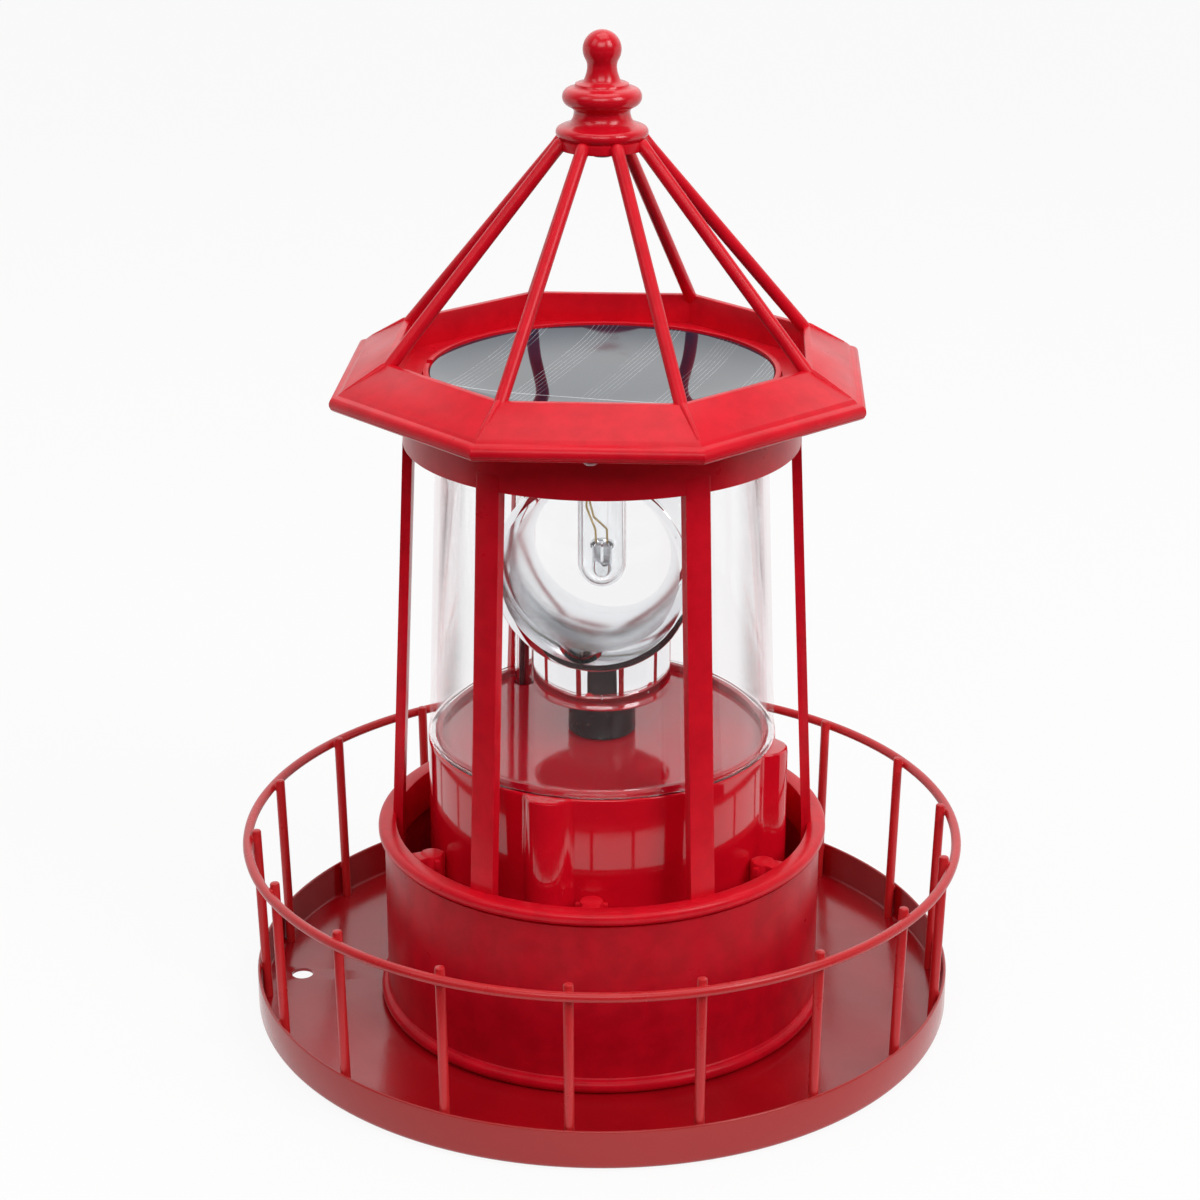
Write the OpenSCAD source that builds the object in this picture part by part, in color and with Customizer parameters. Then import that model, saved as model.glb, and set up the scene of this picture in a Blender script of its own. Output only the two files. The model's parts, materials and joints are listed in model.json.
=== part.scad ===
// Solar beacon light for the garden: a lantern on a railed deck tray, with a double-ended reflector
// that a gear motor turns round a small lamp inside a clear lens tube.
// Millimetres, Z up. The origin is the middle of the tray's underside and the front is -Y.
// Azimuths are degrees from the front, counted towards +X.

/* [Deck tray] */
// Outer diameter of the tray
tray_d = 175; // [165:1:190]
// Thickness of the tray's sheet
tray_t = 0.8; // [0.6:0.1:1.2]
// Height of the tray's lip
lip_h = 10.2; // [7:0.1:14]
// Outer radius of the bend between deck and lip
lip_bend_r = 1.6; // [1.3:0.1:3]
// Width of the deck between the opening and the centres of the cage screws
opening_inset = 6.6; // [5:0.1:9]
// Diameter of the fixing holes in the deck
deck_hole_d = 5.5; // [4:0.1:7]
// Number of fixing holes
deck_hole_count = 3; // [2:1:6]
// How far the fixing holes lie in from the tray's edge
deck_hole_inset = 10; // [8:0.5:16]
// Azimuth of the first fixing hole
deck_hole_turn = -93; // [-180:1:180]

/* [Rail] */
// Number of balusters
rod_count = 18; // [10:1:24]
// Diameter of a baluster
rod_d = 2.4; // [2:0.1:3]
// How far the balusters stand up above the middle of the rail
rod_stub = 2.2; // [1.4:0.1:3]
// Diameter of the rail's wire
rail_wire_d = 2.4; // [2:0.1:3]
// Height of the middle of the rail above the ground
rail_z = 45.1; // [30:0.1:60]
// How far the balusters lean out between the lip and the rail
rail_spread = 0.6; // [0:0.1:1.2]
// How deep a weld joins a baluster to the lip and the rail
weld_sink = 0.15; // [0.05:0.05:0.25]
// Azimuth of the first baluster
rail_turn = -5; // [-180:1:180]

/* [Base drum] */
// Outer diameter of the drum
drum_d = 109; // [106:1:118]
// Height of the drum
drum_h = 44.5; // [42:0.5:56]
// Thickness of the drum's wall
drum_wall = 1.8; // [1.5:0.1:2.4]
// How far the bead at the drum's foot stands out
drum_bead_out = 1.8; // [1:0.1:2.5]
// Height of the bead at the drum's foot
drum_bead_h = 3.4; // [2.6:0.1:6]
// Gap between the deck and the drum's floor
drum_floor_up = 2.2; // [2.1:0.1:4]
// Thickness of the drum's floor
drum_floor_t = 2; // [1.6:0.1:3]
// Width of the floor between its opening and the screws of the beacon
drum_floor_inset = 3.5; // [3:0.1:4]
// How far the screw posts stand in from the drum's wall
post_inset = 6.1; // [5.8:0.1:6.8]
// Diameter of a screw post
post_d = 6; // [5.6:0.1:6.6]
// Thickness of the rib between a post and the wall
post_rib_t = 1.6; // [1.2:0.1:2.4]

/* [Lantern cage] */
// Azimuth of the middle of the front bay, for columns, roof and posts
lantern_turn = -3; // [-180:0.5:180]
// Number of columns
column_count = 6; // [4:1:8]
// Width of a column
column_w = 6.3; // [5:0.1:8]
// Thickness of a column
column_t = 2.4; // [2:0.1:3]
// How far the cage's lip stands out beyond the drum
cage_lip_out = 1.5; // [0.8:0.1:2.4]
// Height of the cage's lip
cage_lip_h = 3.2; // [2.6:0.1:5]
// Depth of the cage's skirt inside the drum
skirt_h = 7.3; // [5:0.1:10]
// Thickness of the skirt
skirt_t = 1.2; // [1:0.1:1.6]
// Diameter of the cage's screw bosses
cage_boss_d = 5.6; // [5:0.1:6]
// How far the bosses end below the lip's top
cage_boss_drop = 0.8; // [0:0.1:2]
// Height of the open bays between the lip and the collar
window_h = 98.5; // [92:0.5:120]
// Height of the collar, up to the roof's floor
collar_h = 13; // [9:0.5:18]
// Thickness of the collar's wall
collar_wall = 2; // [1.6:0.1:3]
// Space between the collar and the panel housing
collar_gap = 3.1; // [2:0.1:5]
// How far the collar's top flange stands out
flange_out = 4; // [3.6:0.1:6]
// Thickness of the collar's top flange
flange_t = 2.2; // [1.6:0.1:3]

/* [Roof] */
// Number of sides and ribs
roof_sides = 8; // [6:1:10]
// How far the corners of the eave stand out beyond the collar
eave_out = 19; // [16:0.5:22]
// Radius of the eave's round nose
nose_r = 1.8; // [1.2:0.1:2.4]
// Distance from the eave's corner to the foot of the sloping panel
panel_foot_in = 3.2; // [2.6:0.1:5]
// Height of the panel's foot above the roof's underside
panel_foot_up = 4.7; // [4:0.1:6]
// Distance from the eave's corner to the head of the sloping panel
panel_head_in = 11; // [9:0.1:12]
// Height of the panel's head above its foot
panel_rise = 6.2; // [4:0.1:9]
// Thickness of the roof's panels and inner wall
roof_wall = 2; // [1.6:0.1:2.6]
// Thickness of the roof's floor
roof_floor_t = 3; // [2.6:0.1:4]
// Diameter of a rib
rib_d = 3.1; // [2.4:0.1:4]
// Height of the crown above the roof's underside
crown_up = 56.8; // [45:0.1:70]
// Diameter of the crown where the ribs meet
crown_d = 20.4; // [19:0.1:24]
// Thickness of the crown
crown_t = 2.3; // [2:0.1:4]

/* [Finial] */
// Height of the finial above the crown
finial_h = 24.8; // [20:0.1:32]
// Diameter of the finial's ball
ball_d = 8.94; // [7:0.02:10]
// Diameter of the finial's disc
disc_d = 18.4; // [16:0.1:20]
// Diameter of the finial's spigot
finial_spigot_d = 8; // [7:0.1:9]

/* [Beacon base] */
// Height of the beacon base
beacon_h = 66.8; // [65:0.2:74]
// Thickness of the beacon base's wall
beacon_wall = 2; // [1.6:0.1:2.4]
// Thickness of the beacon base's top
beacon_top_t = 2.4; // [2:0.1:3]
// Gap between the beacon base and the screw posts
beacon_clear = 0.6; // [0.4:0.1:1]
// Diameter of the upright bosses
beacon_boss_d = 12; // [10:0.1:13]
// How far the upright bosses stand out
beacon_boss_out = 4; // [3:0.1:4.5]
// Azimuths of the upright bosses
beacon_boss_turns = [-17.5, 74, 204]; // [-180:0.5:360]

/* [Lens tube] */
// How far the lens foot stands in from the beacon base's wall
lens_step = 0.3; // [0.1:0.1:1]
// How much narrower the lens radius is at its head
lens_draft = 3; // [1:0.1:3.2]
// Thickness of the lens wall
lens_wall = 1.6; // [1.3:0.1:1.8]
// How far the lens runs up behind the collar
lens_lap = 3; // [2:0.1:5]
// Height of the rim that centres the lens
centring_h = 1.5; // [1:0.1:3]
// Thickness of the rim that centres the lens
centring_t = 1.6; // [1.2:0.1:2]
// Thickness of the lens gaskets
gasket_t = 0.8; // [0.6:0.1:1.2]

/* [Solar panel] */
// How far the panel housing stands in from the beacon base's wall
housing_in = 0.6; // [0.2:0.1:1]
// Width of the housing's raised rim
cell_rim_t = 1.4; // [1:0.1:1.8]
// Thickness of the solar cell
cell_t = 2.4; // [1.6:0.1:3]
// How far the cell lies below the rim
cell_drop = 0.6; // [0.2:0.1:1]
// How far the rim stands above the roof's floor
rim_proud = 1.5; // [0.8:0.1:2.5]
// Width of the pry notch in the rim
notch_w = 3.2; // [2:0.1:5]
// Azimuth of the pry notch
notch_turn = -97; // [-180:1:180]

/* [Reflector] */
// Azimuth that the horn points to at rest
horn_turn = -8; // [-180:1:180]
// Distance from the panel housing down to the middle of the horn
lamp_drop = 33.3; // [32:0.1:36]
// Diameter of the horn's lips
horn_lip_d = 48.1; // [44:0.1:48.4]
// Diameter of the horn's waist
horn_waist_d = 34.4; // [32:0.1:38]
// Length of the horn
horn_len = 35; // [34.6:0.1:36]
// Thickness of the horn's wall
horn_wall = 1.4; // [1:0.1:2]
// Width of the flat lip round each mouth
horn_lip_w = 1.7; // [1.4:0.1:2.4]
// Thickness of the flat lip
horn_lip_t = 1.6; // [1:0.1:2]
// Outer diameter of the bell under the horn
bell_d = 34; // [32:0.1:34]
// Diameter of the hole that the lamp hangs through
lamp_hole_d = 16; // [14.5:0.1:18]

/* [Drive] */
// Diameter of the black hub
hub_d = 16.6; // [14:0.1:20]
// Height of the bell's edge above the beacon base
bell_up = 11.3; // [8:0.1:14]
// Diameter of the drive shaft
shaft_d = 3; // [2.5:0.1:3.5]
// Radial clearance of the shaft in its bush
shaft_clear = 0.05; // [0.03:0.01:0.08]
// Outer diameter of the shaft bush
bush_d = 7; // [6:0.1:8]
// Module of the gears
gear_module = 0.6; // [0.5:0.05:0.65]
// Teeth of the drive gear
gear_teeth = 48; // [44:4:48]
// Teeth of the motor pinion
pinion_teeth = 12; // [12:1:14]
// Width of the drive gear
gear_w = 3; // [2:0.1:3.5]
// Diameter of the gear motor
motor_d = 24; // [20:0.1:25]
// Free height between the control board and the gear motor
motor_clear = 6; // [3.5:0.1:8]

/* [Lamp] */
// Outer diameter of the glass lamp tube
lamp_d = 12; // [10:0.1:12.5]
// Wall of the glass lamp tube
lamp_wall = 0.8; // [0.6:0.1:1.2]
// How far the lamp tube hangs below the middle of the horn
lamp_below = 9.5; // [8:0.1:11]
// Diameter of the LED
led_d = 5; // [4:0.1:5.6]
// Diameter of the LED's leads
lead_d = 0.6; // [0.4:0.1:0.8]
// Outer diameter of the wire conduit
conduit_d = 5.5; // [4.6:0.1:5.6]
// Azimuth of the wire conduit
conduit_turn = -144.5; // [-145:0.5:-128]
// Diameter of a wire in the conduit
wire_d = 1.3; // [1:0.1:1.4]

/* [Power] */
// Diameter of the battery
battery_d = 14.2; // [13.5:0.1:14.5]
// Length of the battery
battery_len = 50.5; // [49:0.1:51]
// Thickness of the beacon's bottom cover
bottom_t = 3.4; // [3:0.1:4]
// Thickness of the battery cover
battery_cover_t = 1.6; // [1.2:0.1:1.8]
// Thickness of the battery cover's seal
seal_t = 0.6; // [0.4:0.1:0.8]
// Travel of the slide switch
switch_travel = 2.5; // [1.5:0.1:3]

/* [Hidden] */
$fn = 96;
fine = 24;            // facets of small round parts in the preview
cut = 1;              // how far a cutting solid runs past a face
fit_gap = 0.1;        // slip fit between nested mouldings
seat_gap = 0.05;      // clearance of pieces that are pressed or pushed together
run_gap = 0.4;        // end play between turning and fixed faces

red = "#c8141d";
deep_red = "#b50f18";
paint_red = "#a9141c";
chrome = "#d9dde2";
clear = "#e2eef2";
steel = "#b9bcc0";
brass = "#c9a24a";
black = "#1c1c1e";

// Radii of the deck and the rail
tray_r = tray_d / 2;
rod_lip_r = tray_r - tray_t - rod_d / 2 + weld_sink;
rod_lean = atan(rail_spread / (rail_z - lip_h));
rail_r = rod_lip_r + rail_spread + (rod_d + rail_wire_d) / 2 - weld_sink;

// Radii of the drum, the cage and the beacon, each from the one that it fits
drum_r = drum_d / 2;
drum_in_r = drum_r - drum_wall;
post_r = drum_in_r - post_inset;
opening_r = post_r - opening_inset;
beacon_r = post_r - post_d / 2 - beacon_clear;
beacon_in_r = beacon_r - beacon_wall;
boss_r = beacon_r + beacon_boss_out - beacon_boss_d / 2;
drum_floor_r = boss_r - drum_floor_inset;
skirt_r = drum_in_r - fit_gap;
column_foot_r = skirt_r - 0.3;
lens_foot_r = beacon_r - lens_step;
lens_head_r = lens_foot_r - lens_draft;
lens_head_in_r = lens_head_r - lens_wall;
housing_r = beacon_r - housing_in;
cell_pocket_r = housing_r - cell_rim_t;
cell_r = cell_pocket_r - 0.2;
collar_in_r = housing_r + collar_gap;
collar_r = collar_in_r + collar_wall;
flange_r = collar_r + flange_out;
eave_r = collar_r + eave_out;
roof_hole_r = housing_r + 0.3;

// Heights, from the ground up
drum_floor_z = tray_t + drum_floor_up;
beacon_z = drum_floor_z + drum_floor_t;
drum_top_z = tray_t + drum_h;
skirt_z = drum_top_z - skirt_h;
lip_top_z = drum_top_z + cage_lip_h;
beacon_top_z = beacon_z + beacon_h;
beacon_ceiling_z = beacon_top_z - beacon_top_t;
collar_z = lip_top_z + window_h;
lens_top_z = collar_z + lens_lap;
housing_z = lens_top_z + gasket_t;
roof_z = collar_z + collar_h;
roof_floor_z = roof_z + roof_floor_t;
rim_top_z = roof_floor_z + rim_proud;
cell_top_z = rim_top_z - cell_drop;
panel_head_z = roof_z + panel_foot_up + panel_rise;
crown_z = roof_z + crown_up;
finial_z = crown_z + crown_t;
lamp_z = housing_z - lamp_drop;
bell_z = beacon_top_z + bell_up;

// Screws: shank and head radii, and the radius of the hole that the shank passes through
screw_r = 1.5;
screw_head_r = 2.8;
screw_head_h = 1.8;
screw_pass_r = 1.7;
small_screw_r = 1;
small_head_r = 2;
small_head_h = 1.4;

// Screw circles of the roof and of the bottom cover
roof_screw_count = 4;
roof_screw_r = collar_r + 1.9;
cover_screw_turns = [-55, 40, 125, -118];
cover_screw_r = beacon_in_r - 4;
cover_post_h = 14;
cover_edge = 1;                      // least width of the bottom cover round the battery cover

// Battery box: inside length and width, walls, and the cover's plate
box_len = battery_len + 6;
box_w = battery_d + 1.8;
box_wall = 1.4;
recess_t = battery_cover_t + seal_t;
plate_len = box_len + 12;
plate_w = box_w + 7;
plate_gap = 0.2;
cover_hole_x = plate_len / 2 - 3.2;
box_floor_z = beacon_z + bottom_t;
battery_z = beacon_z + recess_t + 0.2 + battery_d / 2;
box_top_z = battery_z + battery_d / 2 + 0.4 + box_wall;

// Control board above the battery box
board_len = 46;
board_w = 26;
board_t = 1.6;
board_post_h = 3;
board_z = box_top_z + board_post_h;
board_post_x = 19;

// Drive train under the beacon's ceiling
gear_centre = gear_module * (gear_teeth + pinion_teeth) / 2;
pressure = 25;
tooth_backlash = 0.05;
boss_drop = 6;                       // how far the bush boss hangs below the ceiling
gear_top_z = beacon_ceiling_z - boss_drop - run_gap;
gear_hub_up = 1.8;
gear_z = gear_top_z - gear_hub_up - gear_w;
plate_t = 2;
motor_plate_z = gear_z - 1.2 - plate_t;
motor_h = motor_plate_z - board_z - board_t - motor_clear;
motor_post_y = 15;
motor_post_r = 3.2;
motor_neck_r = 4;
motor_axle_r = 1;

// Slide switch behind the bottom cover
switch_y = -26;
knob_len = 3.2;
knob_w = 1.8;

// Lamp and conduit
conduit_r = lens_head_in_r - conduit_d / 2 - 0.35;
conduit_bore_r = conduit_d / 2 - 0.7;
lamp_top_z = housing_z - 1.5;
lamp_bottom_z = lamp_z - lamp_below;
led_bottom_z = lamp_bottom_z + lamp_wall + 1.2;
led_len = 8.6;
led_top_z = led_bottom_z + led_len;

// Straight pieces that each half of the horn's curve is made of
horn_steps = 5;

// Points of an arc about a centre, from one angle to another
function arc(c, r, a0, a1, n = 6) =
    [for (i = [0 : n]) c + r * [cos(a0 + (a1 - a0) * i / n), sin(a0 + (a1 - a0) * i / n)]];

// Moves children out to a radius at an azimuth; their +X points outwards
module at_az(azimuth, r = 0) {
    rotate([0, 0, azimuth - 90])
        translate([r, 0, 0])
            children();
}

// Repeats children round the axis
module around(count, first, r = 0) {
    for (i = [0 : count - 1])
        at_az(first + i * 360 / count, r)
            children();
}

// A block centred on X and Y that stands on z = 0
module block(size) {
    translate([-size.x / 2, -size.y / 2, 0])
        cube(size);
}

// A round tube that stands on z = 0
module tube(r_out, r_in, h) {
    difference() {
        cylinder(r = r_out, h = h);
        translate([0, 0, -cut])
            cylinder(r = r_in, h = h + 2 * cut);
    }
}

// A pan-head screw: the head's flat side lies on z = 0 and the shank points up
module pan_screw(r, head_r, head_h, len) {
    cylinder(r = r, h = len, $fn = fine);
    translate([0, 0, -head_h])
        cylinder(r1 = head_r * 0.8, r2 = head_r, h = head_h * 0.4, $fn = fine);
    translate([0, 0, -head_h * 0.6])
        cylinder(r = head_r, h = head_h * 0.6, $fn = fine);
}

// A countersunk screw, its flat head at z = 0 and the shank pointing up; gap widens it into its hole
module flat_screw(r, head_r, len, gap = 0) {
    translate([0, 0, gap > 0 ? -cut : 0])
        cylinder(r = r + gap, h = len + cut, $fn = fine);
    cylinder(r1 = head_r + gap, r2 = r + gap, h = head_r - r, $fn = fine);
    if (gap > 0)
        translate([0, 0, -cut])
            cylinder(r = head_r + gap, h = cut + 0.01, $fn = fine);
}

// Tray: a flat deck with a bent-up lip, an opening below the drum and holes
module deck_tray() {
    color(paint_red)
        difference() {
            rotate_extrude()
                polygon(concat(
                    [[opening_r, 0]],
                    arc([tray_r - lip_bend_r, lip_bend_r], lip_bend_r, -90, 0),
                    arc([tray_r - tray_t / 2, lip_h - tray_t / 2], tray_t / 2, 0, 180),
                    arc([tray_r - lip_bend_r, lip_bend_r], lip_bend_r - tray_t, 0, -90),
                    [[opening_r, tray_t]]));
            around(deck_hole_count, deck_hole_turn, tray_r - deck_hole_inset)
                translate([0, 0, -cut])
                    cylinder(d = deck_hole_d, h = tray_t + 2 * cut, $fn = fine);
            around(column_count, lantern_turn, post_r)
                flat_screw(screw_r, screw_head_r, tray_t, screw_pass_r - screw_r);
        }
}

// Wire hoop of the rail
module rail_ring() {
    color(paint_red)
        rotate_extrude()
            translate([rail_r, rail_z])
                circle(d = rail_wire_d, $fn = fine);
}

// Balusters, welded inside the lip and inside the hoop
module balusters() {
    foot_z = tray_t - weld_sink / 2;
    foot_r = rod_lip_r - (lip_h - foot_z) * tan(rod_lean);
    rod_len = (rail_z + rod_stub - foot_z) / cos(rod_lean);
    color(paint_red)
        around(rod_count, rail_turn, foot_r)
            translate([0, 0, foot_z])
                rotate([0, rod_lean, 0]) {
                    cylinder(d = rod_d, h = rod_len - rod_d / 6, $fn = fine);
                    translate([0, 0, rod_len - rod_d / 6])
                        cylinder(d1 = rod_d, d2 = rod_d * 0.6, h = rod_d / 6, $fn = fine);
                }
}

// Drum: a beaded wall, a raised floor with an opening, and screw posts that carry the cage
module base_drum() {
    post_h = skirt_z - tray_t;
    bead_r = min(drum_bead_out, drum_bead_h / 2);
    color(red)
        difference() {
            union() {
                rotate_extrude()
                    polygon(concat(
                        [[drum_floor_r, drum_floor_z], [drum_in_r, drum_floor_z], [drum_in_r, tray_t]],
                        arc([drum_r + drum_bead_out - bead_r, tray_t + bead_r], bead_r, -90, 0),
                        arc([drum_r + drum_bead_out - bead_r, tray_t + drum_bead_h - bead_r], bead_r, 0, 90),
                        [[drum_r, drum_top_z], [drum_in_r, drum_top_z], [drum_in_r, beacon_z],
                         [drum_floor_r, beacon_z]]));
                around(column_count, lantern_turn, post_r)
                    translate([0, 0, tray_t]) {
                        cylinder(d = post_d, h = post_h);
                        translate([0, -post_rib_t / 2, 0])
                            cube([post_inset + drum_wall / 2, post_rib_t, post_h]);
                    }
            }
            around(column_count, lantern_turn, post_r) {
                flat_screw(screw_r, screw_head_r, skirt_z + cut, screw_pass_r - screw_r);
            }
            for (turn = beacon_boss_turns)
                at_az(turn, boss_r)
                    translate([0, 0, drum_floor_z - cut])
                        cylinder(r = screw_pass_r, h = drum_floor_t + 2 * cut, $fn = fine);
        }
}

// Outline of a leaning column in the plane of its azimuth
module column_outline() {
    head_z = collar_z + 4;
    polygon([
        [column_foot_r - column_t, skirt_z + 1],
        [column_foot_r, skirt_z + 1],
        [column_foot_r, lip_top_z],
        [collar_r, collar_z],
        [collar_r, head_z],
        [collar_r - column_t, head_z],
        [collar_r - column_t, collar_z],
        [column_foot_r - column_t, lip_top_z]]);
}

// Cage: one moulding of lip, skirt, columns, collar and screw bosses
module lantern_cage() {
    lip_r = drum_r + cage_lip_out;
    round_r = cage_lip_h * 0.42;
    boss_top_z = lip_top_z - cage_boss_drop;
    stub_len = post_r - beacon_r - cage_boss_d / 2 - run_gap;
    color(red)
        difference() {
            union() {
                rotate_extrude()
                    polygon(concat(
                        [[skirt_r - skirt_t, skirt_z], [skirt_r, skirt_z], [skirt_r, drum_top_z]],
                        arc([lip_r - round_r, drum_top_z + round_r], round_r, -90, 0),
                        arc([lip_r - round_r, lip_top_z - round_r], round_r, 0, 90),
                        [[skirt_r - skirt_t + 0.5, lip_top_z], [skirt_r - skirt_t, lip_top_z - 0.5]]));
                around(column_count, lantern_turn + 180 / column_count)
                    rotate([90, 0, 0])
                        linear_extrude(column_w, center = true)
                            column_outline();
                rotate_extrude()
                    polygon([
                        [collar_in_r, collar_z], [collar_r, collar_z],
                        [collar_r, roof_z - flange_t], [flange_r, roof_z - flange_t],
                        [flange_r, roof_z], [collar_in_r, roof_z]]);
                around(column_count, lantern_turn, post_r)
                    translate([0, 0, skirt_z]) {
                        cylinder(d = cage_boss_d, h = boss_top_z - skirt_z);
                        translate([0, -post_rib_t / 2, 0])
                            cube([post_inset - skirt_t / 2, post_rib_t, boss_top_z - skirt_z - 0.8]);
                        translate([-cage_boss_d / 2 - stub_len, -0.6, 0])
                            cube([stub_len + 0.6, 1.2, boss_top_z - skirt_z - 0.4]);
                    }
            }
            around(column_count, lantern_turn, post_r)
                translate([0, 0, skirt_z - cut])
                    cylinder(r = screw_r + seat_gap, h = boss_top_z - skirt_z - 1.2 + cut, $fn = fine);
            around(roof_screw_count, lantern_turn, roof_screw_r)
                translate([0, 0, roof_z - flange_t - cut])
                    cylinder(r = small_screw_r + 0.15, h = flange_t + 2 * cut, $fn = fine);
        }
}

// Section of the octagonal eave at a corner: round nose, sloping panel, inner wall and floor
module eave_section() {
    head_r = eave_r - panel_head_in;
    foot_r = eave_r - panel_foot_in;
    inner_r = head_r - roof_wall;
    nose_z = roof_z + nose_r;
    polygon(concat(
        [[roof_hole_r * 0.9, roof_z], [inner_r, roof_z], [inner_r + roof_wall / 2, panel_head_z - roof_wall * 1.4],
         [foot_r - roof_wall * 0.8, roof_z + panel_foot_up - roof_wall], [foot_r - roof_wall * 0.6, roof_z]],
        arc([eave_r - nose_r, nose_z], nose_r, -90, 90, 8),
        [[eave_r - nose_r - 0.5, nose_z + nose_r + 0.1], [foot_r, roof_z + panel_foot_up],
         [head_r, panel_head_z], [head_r - roof_wall + 0.3, panel_head_z],
         [inner_r - 0.6, roof_floor_z], [roof_hole_r * 0.9, roof_floor_z]]));
}

// Roof: octagonal eave with a floor round the panel, ribs and the crown that carries the finial
module roof_frame() {
    first = lantern_turn + 180 / roof_sides;
    foot = [eave_r - panel_head_in - 1.1, panel_head_z - 0.4];
    head = [crown_d / 2 - 0.2, crown_z + 1.6];
    rib_turn = atan((head.x - foot.x) / (head.y - foot.y));
    rib_len = norm(head - foot) + rib_d;
    spigot_z = finial_z - 1.4;
    color(red)
        difference() {
            union() {
                at_az(first)
                    rotate_extrude($fn = roof_sides)
                        eave_section();
                around(roof_sides, first, foot.x)
                    translate([0, 0, foot.y])
                        rotate([0, rib_turn, 0])
                            cylinder(d = rib_d, h = rib_len);
                translate([0, 0, crown_z])
                    cylinder(d = crown_d, h = crown_t);
            }
            translate([0, 0, roof_z - cut])
                cylinder(r = roof_hole_r, h = roof_floor_t + 2 * cut);
            translate([0, 0, finial_z])
                cylinder(d = 2 * crown_d, h = 3 * rib_d);
            translate([0, 0, crown_z - cut])
                cylinder(r = screw_pass_r, h = crown_t + 2 * cut, $fn = fine);
            translate([0, 0, spigot_z])
                cylinder(d = finial_spigot_d + 2 * seat_gap, h = crown_t + cut);
            around(roof_screw_count, lantern_turn, roof_screw_r)
                translate([0, 0, roof_z - cut])
                    cylinder(r = small_screw_r + seat_gap, h = roof_floor_t - 0.6 + cut, $fn = fine);
        }
}

// Finial: turned bead, neck, disc, step and ball, with a spigot below
module finial() {
    ball_r = ball_d / 2;
    ball_z = finial_h - ball_r;
    disc_r = disc_d / 2;
    disc_z = finial_h * 0.387;
    crown_r = crown_d / 2;
    color(red)
        translate([0, 0, finial_z])
            difference() {
                rotate_extrude()
                    polygon(concat(
                        [[0, -1.3], [finial_spigot_d / 2, -1.3], [finial_spigot_d / 2, 0], [crown_r - 0.2, 0]],
                        arc([crown_r - 1.1, 1.55], 1.55, -70, 75),
                        [[crown_r * 0.72, 3.3], [disc_r * 0.705, 4.1], [disc_r * 0.69, 6], [disc_r * 0.74, 6.7]],
                        arc([disc_r - 2.3, disc_z], 2.3, -65, 65),
                        [[disc_r * 0.68, disc_z + 2.4], [disc_r * 0.66, disc_z + 2.9], [ball_r * 1.0, disc_z + 3.4],
                         [ball_r * 0.88, disc_z + 4.6], [ball_r * 0.77, disc_z + 6.4],
                         [ball_r * 0.79, disc_z + 7.6]],
                        arc([0, ball_z], ball_r, -32, 90, 12)));
                translate([0, 0, -1.3 - cut])
                    cylinder(r = screw_r + seat_gap, h = 9 + cut, $fn = fine);
            }
}

// Screw that holds the finial from below the crown
module finial_screw() {
    color(steel)
        translate([0, 0, crown_z])
            pan_screw(screw_r, screw_head_r, screw_head_h, crown_t + 6);
}

// Long screws through tray and drum into the cage's bosses
module cage_screws() {
    head_up = 0.1;
    color(steel)
        around(column_count, lantern_turn, post_r)
            translate([0, 0, head_up])
                flat_screw(screw_r, screw_head_r, lip_top_z - cage_boss_drop - 3 - head_up);
}

// Screws through the collar's flange into the roof's floor
module roof_screws() {
    color(steel)
        around(roof_screw_count, lantern_turn, roof_screw_r)
            translate([0, 0, roof_z - flange_t])
                pan_screw(small_screw_r, small_head_r - 0.2, small_head_h, flange_t + roof_floor_t - 1);
}

// Screws through the drum's floor into the beacon base
module beacon_screws() {
    color(steel)
        for (turn = beacon_boss_turns)
            at_az(turn, boss_r)
                translate([0, 0, drum_floor_z])
                    pan_screw(screw_r, screw_head_r, screw_head_h, drum_floor_t + 10);
}

// Cap on the lens tube: a floor, a skirt over the lens head, and a raised rim round the cell
module panel_housing() {
    skirt_drop = lens_lap - 1;
    floor_top = housing_z + 2;
    ledge_z = cell_top_z - cell_t;
    color(red)
        difference() {
            translate([0, 0, housing_z - skirt_drop])
                cylinder(r = housing_r, h = rim_top_z - housing_z + skirt_drop);
            translate([0, 0, housing_z - skirt_drop - cut])
                cylinder(r = lens_head_r + 0.35, h = skirt_drop + cut);
            translate([0, 0, floor_top])
                cylinder(r = cell_pocket_r - 2, h = rim_top_z - floor_top + cut);
            translate([0, 0, ledge_z])
                cylinder(r = cell_pocket_r, h = rim_top_z - ledge_z + cut);
            at_az(notch_turn, housing_r)
                translate([0, 0, roof_floor_z + 0.2])
                    block([4 * cell_rim_t, notch_w, rim_proud + cut]);
            translate([0, 0, housing_z - cut])
                cylinder(r = led_d / 2, h = 2 + 2 * cut, $fn = fine);
            at_az(conduit_turn, conduit_r)
                translate([0, 0, housing_z - cut])
                    cylinder(r = conduit_d / 2 + seat_gap, h = 2 + 2 * cut, $fn = fine);
        }
}

// Round solar cell in clear resin
module solar_cell() {
    color("#26323b")
        translate([0, 0, cell_top_z - cell_t]) {
            cylinder(r = cell_r, h = cell_t - 0.5);
            translate([0, 0, cell_t - 0.5])
                cylinder(r1 = cell_r, r2 = cell_r - 0.7, h = 0.5);
        }
}

// Clear lens tube with a moulded draft and a small foot bead
module lens_tube() {
    slope = lens_draft / (lens_top_z - beacon_top_z);
    foot_h = 1.4;
    color(clear, 0.35)
        rotate_extrude()
            polygon([
                [lens_foot_r - lens_wall, beacon_top_z],
                [lens_foot_r + 0.25, beacon_top_z],
                [lens_foot_r + 0.25, beacon_top_z + foot_h - 0.3],
                [lens_foot_r - foot_h * slope, beacon_top_z + foot_h],
                [lens_head_r, lens_top_z],
                [lens_head_in_r, lens_top_z]]);
}

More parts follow.
